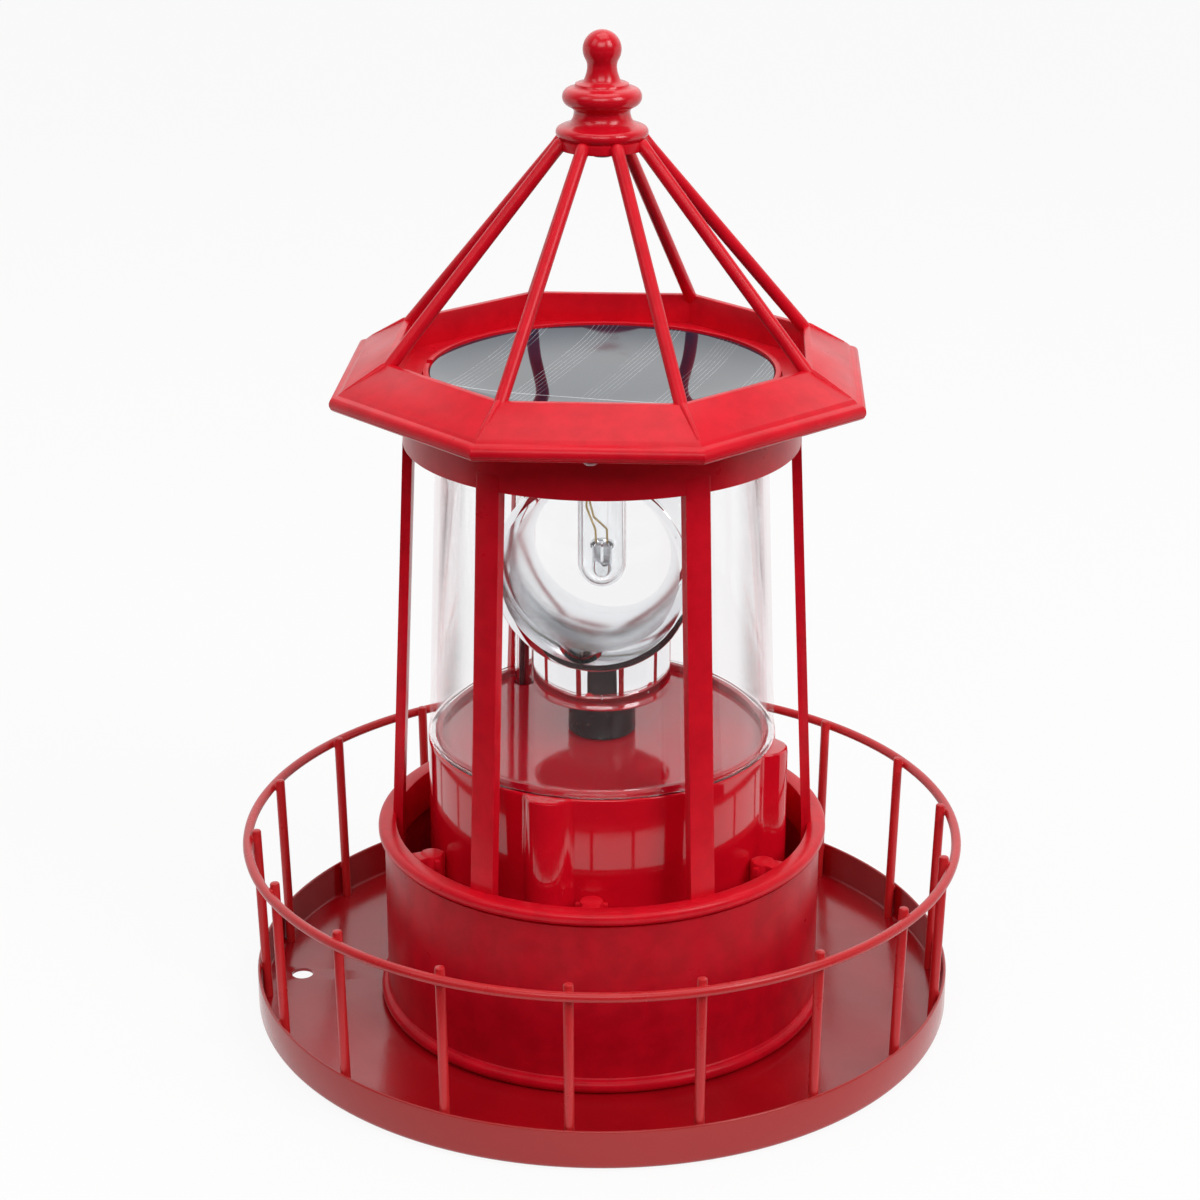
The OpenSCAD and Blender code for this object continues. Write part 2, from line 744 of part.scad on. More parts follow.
// Rubber rings under the lens foot and over the lens head
module lens_gaskets() {
    color(black) {
        translate([0, 0, beacon_top_z - gasket_t])
            tube(lens_foot_r - 0.2, lens_foot_r - lens_wall + 0.2, gasket_t);
        translate([0, 0, lens_top_z])
            tube(lens_head_r, lens_head_in_r, gasket_t);
    }
}

// Beacon base: glossy housing with upright bosses, a centring rim and what hangs below its ceiling
module beacon_base() {
    centring_r = lens_foot_r - lens_wall - 0.2;
    boss_bevel = 0.8;
    inside_h = beacon_ceiling_z - beacon_z;
    color(deep_red)
        difference() {
            union() {
                difference() {
                    translate([0, 0, beacon_z])
                        cylinder(r = beacon_r, h = beacon_h);
                    translate([0, 0, beacon_z - cut])
                        cylinder(r = beacon_in_r, h = inside_h + cut);
                }
                for (turn = beacon_boss_turns)
                    at_az(turn, boss_r)
                        translate([0, 0, beacon_z])
                            rotate_extrude()
                                polygon([
                                    [0, 0],
                                    [beacon_boss_d / 2, 0],
                                    [beacon_boss_d / 2, beacon_h - boss_bevel - 0.2],
                                    [beacon_boss_d / 2 - boss_bevel, beacon_h - 0.2],
                                    [0, beacon_h - 0.2]]);
                translate([0, 0, beacon_top_z - 0.5])
                    tube(centring_r, centring_r - centring_t, centring_h + 0.5);
                for (turn = cover_screw_turns)
                    at_az(turn, cover_screw_r)
                        translate([0, 0, box_floor_z]) {
                            cylinder(r = 3, h = cover_post_h);
                            translate([0, -0.8, 0])
                                cube([beacon_in_r - cover_screw_r + 0.5, 1.6, cover_post_h]);
                        }
                translate([0, 0, beacon_ceiling_z - boss_drop])
                    cylinder(r = bush_d / 2 + 2.4, h = boss_drop + 0.5);
                for (side = [-1, 1])
                    translate([gear_centre, side * motor_post_y, motor_plate_z + plate_t])
                        cylinder(r = motor_post_r, h = beacon_ceiling_z - motor_plate_z - plate_t + 0.5);
            }
            translate([0, 0, beacon_top_z - gasket_t])
                tube(lens_foot_r - 0.1, lens_foot_r - lens_wall + 0.1, gasket_t + cut);
            translate([0, 0, beacon_ceiling_z - boss_drop - cut])
                cylinder(r = bush_d / 2 + seat_gap, h = beacon_top_t + boss_drop + 2 * cut);
            for (turn = beacon_boss_turns)
                at_az(turn, boss_r)
                    translate([0, 0, beacon_z - cut])
                        cylinder(r = screw_r + seat_gap, h = 12 + cut, $fn = fine);
            for (turn = cover_screw_turns)
                at_az(turn, cover_screw_r)
                    translate([0, 0, box_floor_z - cut])
                        cylinder(r = small_screw_r + seat_gap, h = 9 + cut, $fn = fine);
            for (side = [-1, 1])
                translate([gear_centre, side * motor_post_y, motor_plate_z + plate_t - cut])
                    cylinder(r = small_screw_r + seat_gap, h = 7 + cut, $fn = fine);
            at_az(conduit_turn, conduit_r)
                translate([0, 0, beacon_ceiling_z - cut])
                    cylinder(r = conduit_d / 2 + seat_gap, h = beacon_top_t + 2 * cut, $fn = fine);
        }
}

// Plate of the battery cover, shrunk by a gap where it lies in its recess, and kept inside the beacon base
module cover_outline(gap = 0) {
    corner = 4;
    intersection() {
        union() {
            for (sx = [-1, 1], sy = [-1, 1])
                translate([sx * (plate_len / 2 - corner), sy * (plate_w / 2 - corner)])
                    circle(r = corner - gap, $fn = fine);
            square([plate_len - 2 * gap, plate_w - 2 * corner], center = true);
            square([plate_len - 2 * corner, plate_w - 2 * gap], center = true);
        }
        circle(r = beacon_in_r - cover_edge - gap);
    }
}

// Bottom cover of the beacon base, with the battery box, board posts and the switch slot
module bottom_cover() {
    slot_len = knob_len + switch_travel + 0.6;
    box_h = box_top_z - box_floor_z;
    color(deep_red)
        difference() {
            union() {
                translate([0, 0, beacon_z])
                    cylinder(r = beacon_in_r - fit_gap, h = bottom_t);
                translate([0, 0, box_floor_z - 0.5])
                    block([box_len + 2 * box_wall, box_w + 2 * box_wall, box_h + 0.5]);
                for (side = [-1, 1])
                    translate([side * board_post_x, 0, box_top_z - 0.5])
                        cylinder(r = 2.6, h = board_post_h + 0.5, $fn = fine);
            }
            for (turn = beacon_boss_turns)
                at_az(turn, boss_r)
                    translate([0, 0, beacon_z - cut])
                        cylinder(r = beacon_boss_d / 2 + 0.2, h = bottom_t + 2 * cut);
            translate([0, 0, beacon_z - cut])
                linear_extrude(recess_t + cut)
                    cover_outline();
            translate([0, 0, beacon_z])
                block([box_len, box_w, box_top_z - box_wall - beacon_z]);
            translate([0, switch_y, beacon_z - cut])
                block([slot_len, knob_w + 0.6, bottom_t + 2 * cut]);
            for (turn = cover_screw_turns)
                at_az(turn, cover_screw_r)
                    translate([0, 0, beacon_z])
                        flat_screw(small_screw_r, small_head_r, bottom_t, 0.15);
            for (side = [-1, 1]) {
                translate([side * cover_hole_x, 0, beacon_z + recess_t - cut])
                    cylinder(r = small_screw_r + seat_gap, h = bottom_t - recess_t - 0.3 + cut, $fn = fine);
                translate([side * board_post_x, 0, box_top_z - 0.2])
                    cylinder(r = small_screw_r + seat_gap, h = board_post_h + cut, $fn = fine);
            }
        }
}

// Screws of the bottom cover
module bottom_cover_screws() {
    color(steel)
        for (turn = cover_screw_turns)
            at_az(turn, cover_screw_r)
                translate([0, 0, beacon_z + 0.1])
                    flat_screw(small_screw_r, small_head_r, bottom_t + 6);
}

// Cover plate of the battery box
module battery_cover() {
    color(deep_red)
        difference() {
            translate([0, 0, beacon_z])
                linear_extrude(battery_cover_t)
                    cover_outline(plate_gap);
            for (side = [-1, 1])
                translate([side * cover_hole_x, 0, beacon_z])
                    flat_screw(small_screw_r, small_head_r, battery_cover_t, 0.15);
        }
}

// Screws of the battery cover
module battery_cover_screws() {
    color(steel)
        for (side = [-1, 1])
            translate([side * cover_hole_x, 0, beacon_z + 0.1])
                flat_screw(small_screw_r, small_head_r, bottom_t - 1.5);
}

// Flat rubber seal between the battery cover and its recess
module battery_seal() {
    color(black)
        translate([0, 0, beacon_z + battery_cover_t])
            difference() {
                linear_extrude(seal_t)
                    cover_outline(plate_gap);
                translate([0, 0, -cut])
                    block([box_len, box_w, seal_t + 2 * cut]);
                for (side = [-1, 1])
                    translate([side * cover_hole_x, 0, -cut])
                        cylinder(r = small_screw_r + 0.15, h = seal_t + 2 * cut, $fn = fine);
            }
}

// Rechargeable AA cell, lying along X
module battery() {
    nub = 1.2;
    color("#3f8f4a")
        translate([0, 0, battery_z])
            rotate([0, 90, 0]) {
                translate([0, 0, -battery_len / 2])
                    cylinder(d = battery_d, h = battery_len - nub);
                translate([0, 0, battery_len / 2 - nub])
                    cylinder(d = 5.5, h = nub, $fn = fine);
            }
}

// Contact plates at the two ends of the battery box, each with a dimple against the cell
module battery_contacts() {
    plate = 0.5;
    reach = (box_len - battery_len) / 2 - plate;
    color(steel)
        for (side = [-1, 1])
            translate([side * (box_len / 2 - plate / 2), 0, battery_z])
                rotate([0, -side * 90, 0]) {
                    translate([0, 0, -plate / 2])
                        block([battery_d - 2, battery_d - 2, plate]);
                    translate([0, 0, plate / 2])
                        cylinder(d1 = 8, d2 = 3.5, h = reach, $fn = fine);
                }
}

// Charging and lamp board above the battery box, with its parts
module control_board() {
    under_motor = 0.9;
    color("#2b6b3f")
        difference() {
            union() {
                translate([0, 0, board_z])
                    block([board_len, board_w, board_t]);
                translate([-8, -7, board_z + board_t - 0.1])
                    cylinder(r = 3.1, h = 7.1, $fn = fine);
                translate([-8, 6, board_z + board_t - 0.1])
                    cylinder(r = 2.4, h = 5.1, $fn = fine);
                translate([-14, -6, board_z + board_t - 0.1])
                    block([3, 6, 2.4]);
                translate([2, 7, board_z + board_t - 0.1])
                    block([6, 5, 1.5]);
                translate([12, -7, board_z + board_t - 0.1])
                    block([5, 4, under_motor]);
            }
            for (side = [-1, 1])
                translate([side * board_post_x, 0, board_z - cut])
                    cylinder(r = small_screw_r + 0.15, h = board_t + 2 * cut, $fn = fine);
        }
}

// Screws of the control board, driven from above
module board_screws() {
    color(steel)
        for (side = [-1, 1])
            translate([side * board_post_x, 0, board_z + board_t])
                rotate([180, 0, 0])
                    pan_screw(small_screw_r, small_head_r, 1.1, board_t + board_post_h - 0.4);
}

// Body of the slide switch, with the pocket that its knob runs in
module switch_body() {
    pocket_len = knob_len + switch_travel + 0.8;
    color("#3a3a3d")
        translate([0, switch_y, box_floor_z])
            difference() {
                block([10, 5, 4.2]);
                translate([0, 0, -cut])
                    block([pocket_len, knob_w + 0.8, 1.8 + cut]);
            }
}

// Knob of the slide switch, at the end of its travel towards -X
module switch_knob() {
    below = 1;
    color(black)
        translate([-switch_travel / 2, switch_y, beacon_z - below]) {
            block([knob_len, knob_w, bottom_t + below + 1.5]);
            for (i = [-1 : 1])
                translate([i * 1, 0, -0.3])
                    block([0.5, knob_w, 0.4]);
        }
}

// Gear motor: can, gearbox and neck with the hole of its axle
module gear_motor() {
    box_share = 0.38;
    color(steel)
        translate([gear_centre, 0, motor_plate_z - motor_h])
            difference() {
                union() {
                    cylinder(r = motor_d / 2 - 2.4, h = motor_h * (1 - box_share) + 0.1);
                    translate([0, 0, motor_h * (1 - box_share)])
                        cylinder(d = motor_d - 3.2, h = motor_h * box_share);
                    translate([0, 0, motor_h - 0.1])
                        cylinder(r = motor_neck_r, h = plate_t + 0.1);
                }
                translate([0, 0, motor_h - 5])
                    cylinder(r = motor_axle_r + shaft_clear, h = 5 + plate_t + cut, $fn = fine);
            }
}

// Plate that carries the gear motor on two posts
module motor_plate() {
    color(steel)
        translate([gear_centre, 0, motor_plate_z])
            difference() {
                linear_extrude(plate_t)
                    union() {
                        square([10, 2 * motor_post_y], center = true);
                        circle(r = motor_neck_r + 3);
                        for (side = [-1, 1])
                            translate([0, side * motor_post_y])
                                circle(r = 5);
                    }
                translate([0, 0, -cut])
                    cylinder(r = motor_neck_r + seat_gap, h = plate_t + 2 * cut);
                for (side = [-1, 1])
                    translate([0, side * motor_post_y, -cut])
                        cylinder(r = small_screw_r + 0.15, h = plate_t + 2 * cut, $fn = fine);
            }
}

// Screws of the motor plate
module motor_screws() {
    color(steel)
        for (side = [-1, 1])
            translate([gear_centre, side * motor_post_y, motor_plate_z])
                pan_screw(small_screw_r, small_head_r, small_head_h, plate_t + 6);
}

// Gear teeth: half the angle that a tooth takes at radius r, and the outline of a whole gear
function pitch_r(teeth) = gear_module * teeth / 2;
function base_r(teeth) = pitch_r(teeth) * cos(pressure);
function involute(a) = tan(a) * 180 / PI - a;
function half_tooth(r, teeth) =
    let (a = r > base_r(teeth) ? acos(base_r(teeth) / r) : 0)
    90 / teeth - tooth_backlash / pitch_r(teeth) * 90 / PI + involute(pressure) - involute(a);
function polar(r, a) = r * [cos(a), sin(a)];
function gear_outline(teeth) =
    let (
        root = pitch_r(teeth) - 1.05 * gear_module,
        low = max(root + 0.05, base_r(teeth)),
        mid = pitch_r(teeth),
        tip = pitch_r(teeth) + 0.85 * gear_module,
        radii = [root, low, mid, (mid + tip) / 2, tip],
        last = len(radii) - 1)
    [for (tooth = [0 : teeth - 1])
        for (k = [-last : last + 1])
            let (
                i = k <= 0 ? k + last : last + 1 - k,
                side = k <= 0 ? -1 : 1)
            polar(radii[i], tooth * 360 / teeth + side * half_tooth(radii[i], teeth))];

// Pinion on the motor's axle; a gap between its teeth faces the drive gear
module motor_pinion() {
    color(brass)
        translate([gear_centre, 0, 0])
            rotate([0, 0, 180 - 180 / pinion_teeth]) {
                translate([0, 0, gear_z - 0.2])
                    linear_extrude(gear_w + 0.4)
                        polygon(gear_outline(pinion_teeth));
                translate([0, 0, motor_plate_z - 4])
                    cylinder(r = motor_axle_r, h = gear_z + gear_w - motor_plate_z + 4, $fn = fine);
            }
}

// Gear on the drive shaft
module drive_gear() {
    color("#e9e4d6")
        difference() {
            union() {
                translate([0, 0, gear_z])
                    linear_extrude(gear_w)
                        polygon(gear_outline(gear_teeth));
                translate([0, 0, gear_z])
                    cylinder(d = bush_d + 2, h = gear_w + gear_hub_up);
            }
            translate([0, 0, gear_z - cut])
                cylinder(r = shaft_d / 2 + 0.02, h = gear_w + gear_hub_up + 2 * cut);
            for (side = [0 : 3])
                rotate([0, 0, side * 90 + 45])
                    translate([pitch_r(gear_teeth) * 0.62, 0, gear_z - cut])
                        cylinder(r = pitch_r(gear_teeth) * 0.19, h = gear_w + 2 * cut);
        }
}

// Steel shaft from the drive gear up to the hub
module drive_shaft() {
    color(steel)
        translate([0, 0, gear_z - 0.6])
            cylinder(d = shaft_d, h = bell_z - gear_z + 1);
}

// Bush in the beacon's ceiling
module shaft_bush() {
    color(brass)
        translate([0, 0, beacon_ceiling_z - boss_drop])
            tube(bush_d / 2, shaft_d / 2 + shaft_clear, boss_drop + beacon_top_t);
}

// Black hub between the beacon's ceiling and the reflector
module drive_hub() {
    body_z = beacon_top_z + run_gap;
    seat_z = bell_z + 0.5;
    color(black)
        difference() {
            union() {
                translate([0, 0, body_z])
                    cylinder(d = hub_d, h = seat_z - body_z);
                translate([0, 0, seat_z - 0.1])
                    cylinder(d = hub_d * 0.6, h = 4.1);
            }
            translate([0, 0, body_z - cut])
                cylinder(r = shaft_d / 2 + 0.02, h = bell_z + 0.5 - body_z + cut);
        }
}

// Inside radius of the horn at a distance from its middle
function horn_r(y) = horn_waist_d / 2
    + (horn_lip_d / 2 - horn_lip_w - horn_waist_d / 2) * pow(abs(y) / (horn_len / 2), 1.7);

// One side of the horn's outline from waist to mouth, set out by a wall
function horn_side(wall, end) =
    [for (i = [0 : horn_steps]) let (y = end * i / horn_steps) [horn_r(y) + wall, y]];
function mirrored(points) = [for (i = [len(points) - 1 : -1 : 0]) [points[i].x, -points[i].y]];
function backwards(points) = [for (i = [len(points) - 1 : -1 : 0]) points[i]];

// Wall of the double horn in section, with the flat lip round each mouth
module horn_wall_section() {
    half = horn_len / 2;
    lip_r = horn_lip_d / 2;
    outer = horn_side(horn_wall, half - horn_lip_t);
    inner = horn_side(0, half);
    polygon(concat(
        mirrored(inner), [for (i = [1 : horn_steps]) inner[i]],
        [[lip_r, half], [lip_r, half - horn_lip_t]],
        backwards(outer), [for (i = [1 : horn_steps]) [outer[i].x, -outer[i].y]],
        [[lip_r, horn_lip_t - half], [lip_r, -half]]));
}

// Body that trims the bell in the middle of the horn's wall
module horn_trim_section() {
    end = horn_len / 2 + cut;
    side = horn_side(horn_wall / 2, end);
    polygon(concat([[0, -end]], mirrored(side), [for (i = [1 : horn_steps]) side[i]], [[0, end]]));
}

// Points of a circle, for round walls that have to meet the horn's cones as flat facets
function ring(r, n) = [for (i = [0 : n - 1]) r * [cos(i * 360 / n), sin(i * 360 / n)]];

// Reflector: double horn with flat lips on a bell, with ribs and a socket for the hub
module reflector() {
    seat_z = bell_z + 0.5;
    bell_r = bell_d / 2;
    bell_top_z = lamp_z - 5;
    web_top_z = lamp_z - 0.45 * horn_waist_d / 2;
    socket_r = hub_d * 0.3 + seat_gap;
    color(chrome)
        rotate([0, 0, horn_turn])
            difference() {
                union() {
                    difference() {
                        translate([0, 0, lamp_z])
                            rotate([90, 0, 0])
                                rotate_extrude()
                                    horn_wall_section();
                        translate([0, 0, lamp_z])
                            linear_extrude(horn_lip_d)
                                polygon(ring(lamp_hole_d / 2, 32));
                    }
                    difference() {
                        union() {
                            translate([0, 0, bell_z])
                                linear_extrude(bell_top_z - bell_z)
                                    difference() {
                                        polygon(ring(bell_r, 60));
                                        polygon(ring(bell_r - horn_wall, 60));
                                    }
                            for (turn = [0, 90])
                                rotate([0, 0, turn + 45])
                                    translate([0, 0, seat_z + 2])
                                        block([2 * bell_r - horn_wall, 1.2, web_top_z - seat_z - 2]);
                        }
                        translate([0, 0, lamp_z])
                            rotate([90, 0, 0])
                                rotate_extrude()
                                    horn_trim_section();
                    }
                    translate([0, 0, seat_z])
                        cylinder(r = socket_r + 2, h = 8);
                }
                translate([0, 0, seat_z - cut])
                    cylinder(r = socket_r, h = 4.2 + cut);
            }
}

// Holder of the lamp tube under the panel housing
module lamp_holder() {
    sleeve_h = 6;
    bore_r = lamp_d / 2 + 0.1;
    color(black)
        difference() {
            union() {
                translate([0, 0, housing_z - sleeve_h])
                    cylinder(r = bore_r + 1.8, h = sleeve_h);
                translate([0, 0, housing_z - 1.4])
                    cylinder(r = bore_r + 4, h = 1.4);
            }
            translate([0, 0, housing_z - sleeve_h - cut])
                cylinder(r = bore_r, h = lamp_top_z + 0.1 - housing_z + sleeve_h + cut);
            translate([0, 0, housing_z - sleeve_h])
                cylinder(r = led_d / 2, h = sleeve_h + cut, $fn = fine);
        }
}

// Glass lamp tube with a round bottom, open at the top
module lamp_tube() {
    r = lamp_d / 2;
    centre = [0, lamp_bottom_z + r];
    color(clear, 0.35)
        rotate_extrude()
            polygon(concat(
                arc(centre, r, -90, 0, 8),
                [[r, lamp_top_z], [r - lamp_wall, lamp_top_z]],
                arc(centre, r - lamp_wall, 0, -90, 8)));
}

// LED, its dome pointing down and its flange up
module led() {
    r = led_d / 2;
    color(clear, 0.6)
        translate([0, 0, led_bottom_z]) {
            rotate_extrude()
                polygon(concat(
                    arc([0, r], r, -90, 0, 8),
                    [[r, led_len - 1], [r + 0.4, led_len - 1], [r + 0.4, led_len], [0, led_len]]));
        }
}

// A bent wire through points: round pieces with a ball at each bend
module wire(points, r) {
    for (i = [0 : len(points) - 2])
        let (
            a = points[i],
            b = points[i + 1],
            d = b - a)
            hull() {
                translate(a)
                    sphere(r = r, $fn = 8);
                translate(b)
                    sphere(r = r, $fn = 8);
            }
}

// Brass leads, from the LED up through the lamp holder
module led_leads() {
    top = housing_z + 1.5 - led_top_z;
    near_lead = [[-1.3, 0, 0.3], [-1.6, 0.2, 3], [-3.9, 0.4, 8.6], [-3.7, 0.4, 11.4], [-0.9, 0.2, 15.5],
                 [-0.8, 0.2, top]];
    far_lead = [[1.3, 0, 0.3], [1.2, -0.2, 3.4], [-2, -0.9, 6.6], [-3.1, -1.2, 11], [-2.6, -1.2, 15],
                [0.9, -0.6, 20], [0.9, -0.6, top]];
    color(brass)
        translate([0, 0, led_top_z])
            for (lead = [near_lead, far_lead])
                wire(lead, lead_d / 2);
}

// Clear conduit from the beacon base up to the panel housing
module wire_conduit() {
    color(clear, 0.35)
        at_az(conduit_turn, conduit_r)
            translate([0, 0, beacon_ceiling_z])
                tube(conduit_d / 2, conduit_bore_r, housing_z + 2 - beacon_ceiling_z);
}

// Two wires in the conduit
module power_wires() {
    wire_z = beacon_ceiling_z - 4;
    at_az(conduit_turn, conduit_r)
        for (side = [-1, 1])
            translate([0, side * (wire_d / 2 + 0.05), wire_z])
                color(side < 0 ? "#7a1020" : black)
                    cylinder(d = wire_d, h = housing_z + 5 - wire_z, $fn = fine);
}

deck_tray();
rail_ring();
balusters();
base_drum();
lantern_cage();
roof_frame();
finial();
finial_screw();
cage_screws();
roof_screws();
beacon_screws();
panel_housing();
solar_cell();
lens_tube();
lens_gaskets();
beacon_base();
bottom_cover();
bottom_cover_screws();
battery_cover();
battery_cover_screws();
battery_seal();
battery();
battery_contacts();
control_board();
board_screws();
switch_body();
switch_knob();
gear_motor();
motor_plate();
motor_screws();
motor_pinion();
drive_gear();
drive_shaft();
shaft_bush();
drive_hub();
reflector();
lamp_holder();
lamp_tube();
led();
led_leads();
wire_conduit();
power_wires();
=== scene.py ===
"""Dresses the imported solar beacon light: its pieces, finishes, studio and camera.

Sizes are millimetres in the classes and become metres when a mesh is made. The axis of the light is Z, and an
azimuth is an angle from the front (-Y), counted towards +X.
"""
import json
import logging
import math
from dataclasses import dataclass, field
from enum import Enum

import bmesh
import bpy
from mathutils import Matrix, Vector

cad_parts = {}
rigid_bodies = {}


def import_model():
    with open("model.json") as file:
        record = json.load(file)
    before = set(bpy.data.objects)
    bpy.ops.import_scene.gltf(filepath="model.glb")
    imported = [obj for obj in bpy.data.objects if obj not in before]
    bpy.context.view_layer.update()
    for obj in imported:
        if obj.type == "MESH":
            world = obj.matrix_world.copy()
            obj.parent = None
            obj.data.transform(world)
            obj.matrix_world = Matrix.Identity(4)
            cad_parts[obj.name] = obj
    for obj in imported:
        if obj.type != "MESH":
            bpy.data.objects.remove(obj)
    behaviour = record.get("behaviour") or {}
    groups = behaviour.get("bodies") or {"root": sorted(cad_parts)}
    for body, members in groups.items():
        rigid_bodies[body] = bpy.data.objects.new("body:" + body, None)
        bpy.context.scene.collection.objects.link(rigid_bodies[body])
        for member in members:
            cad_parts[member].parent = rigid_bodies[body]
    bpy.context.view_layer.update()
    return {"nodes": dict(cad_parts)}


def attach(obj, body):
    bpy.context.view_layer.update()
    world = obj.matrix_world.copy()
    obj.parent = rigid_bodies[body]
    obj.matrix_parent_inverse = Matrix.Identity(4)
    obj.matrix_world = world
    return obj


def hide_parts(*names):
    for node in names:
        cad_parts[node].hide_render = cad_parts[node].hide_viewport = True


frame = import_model()
LOG = logging.getLogger("beacon")
MM = 0.001

Point2 = tuple[float, float]
Point3 = tuple[float, float, float]
Colour = tuple[float, float, float]


class Body(Enum):
    """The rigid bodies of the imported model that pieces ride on."""

    HOUSING = "housing"
    SPINNER = "spinner"
    PINION = "pinion"
    SWITCH = "switch"


class Slot(Enum):
    """The record's material slots, one named for each new piece."""

    DECK = "deck_paint"
    RAIL = "rail_paint"
    SHELL = "red_shell"
    GLOSS = "gloss_red"
    SCREW = "screw_steel"
    CELL = "cell_face"
    LENS = "clear_lens"
    RUBBER = "black_rubber"
    HUB = "black_plastic"
    CHROME = "reflector_chrome"
    LAMP = "lamp_glass"
    LED = "led_resin"
    BRASS = "brass"
    WIRE = "wire_sleeve"


# ---- Shader arithmetic ----------------------------------------------------------------------------------------


@dataclass(frozen=True)
class Wire:
    """One output of a node, which takes part in Python arithmetic on values."""

    tree: "Sketch"
    socket: bpy.types.NodeSocket

    def _with(self, operation: str, first: "Wire | float", second: "Wire | float" = 0.0,
              clamp: bool = False) -> "Wire":
        """Adds a Math node.

        Args:
            operation: The node's operation.
            first: The first operand.
            second: The second operand.
            clamp: Whether the result is kept between 0 and 1.

        Returns:
            The node's result.
        """
        return self.tree.node("ShaderNodeMath", {"operation": operation, "use_clamp": clamp},
                              {0: first, 1: second})[0]

    def __add__(self, other: "Wire | float") -> "Wire":
        """Sum."""
        return self._with("ADD", self, other)

    def __radd__(self, other: float) -> "Wire":
        """Sum, reflected."""
        return self._with("ADD", other, self)

    def __sub__(self, other: "Wire | float") -> "Wire":
        """Difference."""
        return self._with("SUBTRACT", self, other)

    def __rsub__(self, other: float) -> "Wire":
        """Difference, reflected."""
        return self._with("SUBTRACT", other, self)

    def __mul__(self, other: "Wire | float") -> "Wire":
        """Product."""
        return self._with("MULTIPLY", self, other)

    def __rmul__(self, other: float) -> "Wire":
        """Product, reflected."""
        return self._with("MULTIPLY", other, self)

    def __truediv__(self, other: "Wire | float") -> "Wire":
        """Quotient."""
        return self._with("DIVIDE", self, other)

    def __rtruediv__(self, other: float) -> "Wire":
        """Quotient, reflected."""
        return self._with("DIVIDE", other, self)

    def __pow__(self, other: float) -> "Wire":
        """Power."""
        return self._with("POWER", self, other)

    def __gt__(self, other: "Wire | float") -> "Wire":
        """One where this is above the other, else zero."""
        return self._with("GREATER_THAN", self, other)

    def __abs__(self) -> "Wire":
        """Absolute value."""
        return self._with("ABSOLUTE", self)

    def cos(self) -> "Wire":
        """Cosine."""
        return self._with("COSINE", self)

    def sin(self) -> "Wire":
        """Sine."""
        return self._with("SINE", self)

    def wrap(self, span: float) -> "Wire":
        """Distance to the nearest multiple of span."""
        return self._with("PINGPONG", self, span / 2)

    def clamped(self) -> "Wire":
        """The value kept between 0 and 1."""
        return self._with("ADD", self, clamp=True)

    def ramp(self, low: float, high: float) -> "Wire":
        """A smooth step from 0 at low to 1 at high."""
        return self.tree.node("ShaderNodeMapRange", {"interpolation_type": "SMOOTHSTEP"},
                              {"Value": self, "From Min": low, "From Max": high})["Result"]


@dataclass(frozen=True)
class NodeOutputs:
    """The outputs of a node, by name or by number."""

    tree: "Sketch"
    node: bpy.types.Node

    def __getitem__(self, key: str | int) -> Wire:
        """One output of the node."""
        return Wire(self.tree, self.node.outputs[key])


class Sketch:
    """A node tree, built from Python."""

    def __init__(self, tree: bpy.types.NodeTree) -> None:
        """Empties the tree.

        Args:
            tree: The tree that nodes are added to.
        """
        self.nodes = tree.nodes
        self.links = tree.links
        self.nodes.clear()

    def node(self, kind: str, settings: dict | None = None, inputs: dict | None = None) -> NodeOutputs:
        """Adds any node.

        Args:
            kind: The node's type.
            settings: Properties of the node, such as its operation, which are set first.
            inputs: Values or wires for its sockets, by name or number.

        Returns:
            The node's outputs.
        """
        node = self.nodes.new(kind)
        for key, value in (settings or {}).items():
            setattr(node, key, value)
        for key, value in (inputs or {}).items():
            if isinstance(value, Wire):
                self.links.new(value.socket, node.inputs[key])
            else:
                node.inputs[key].default_value = value
        return NodeOutputs(self, node)


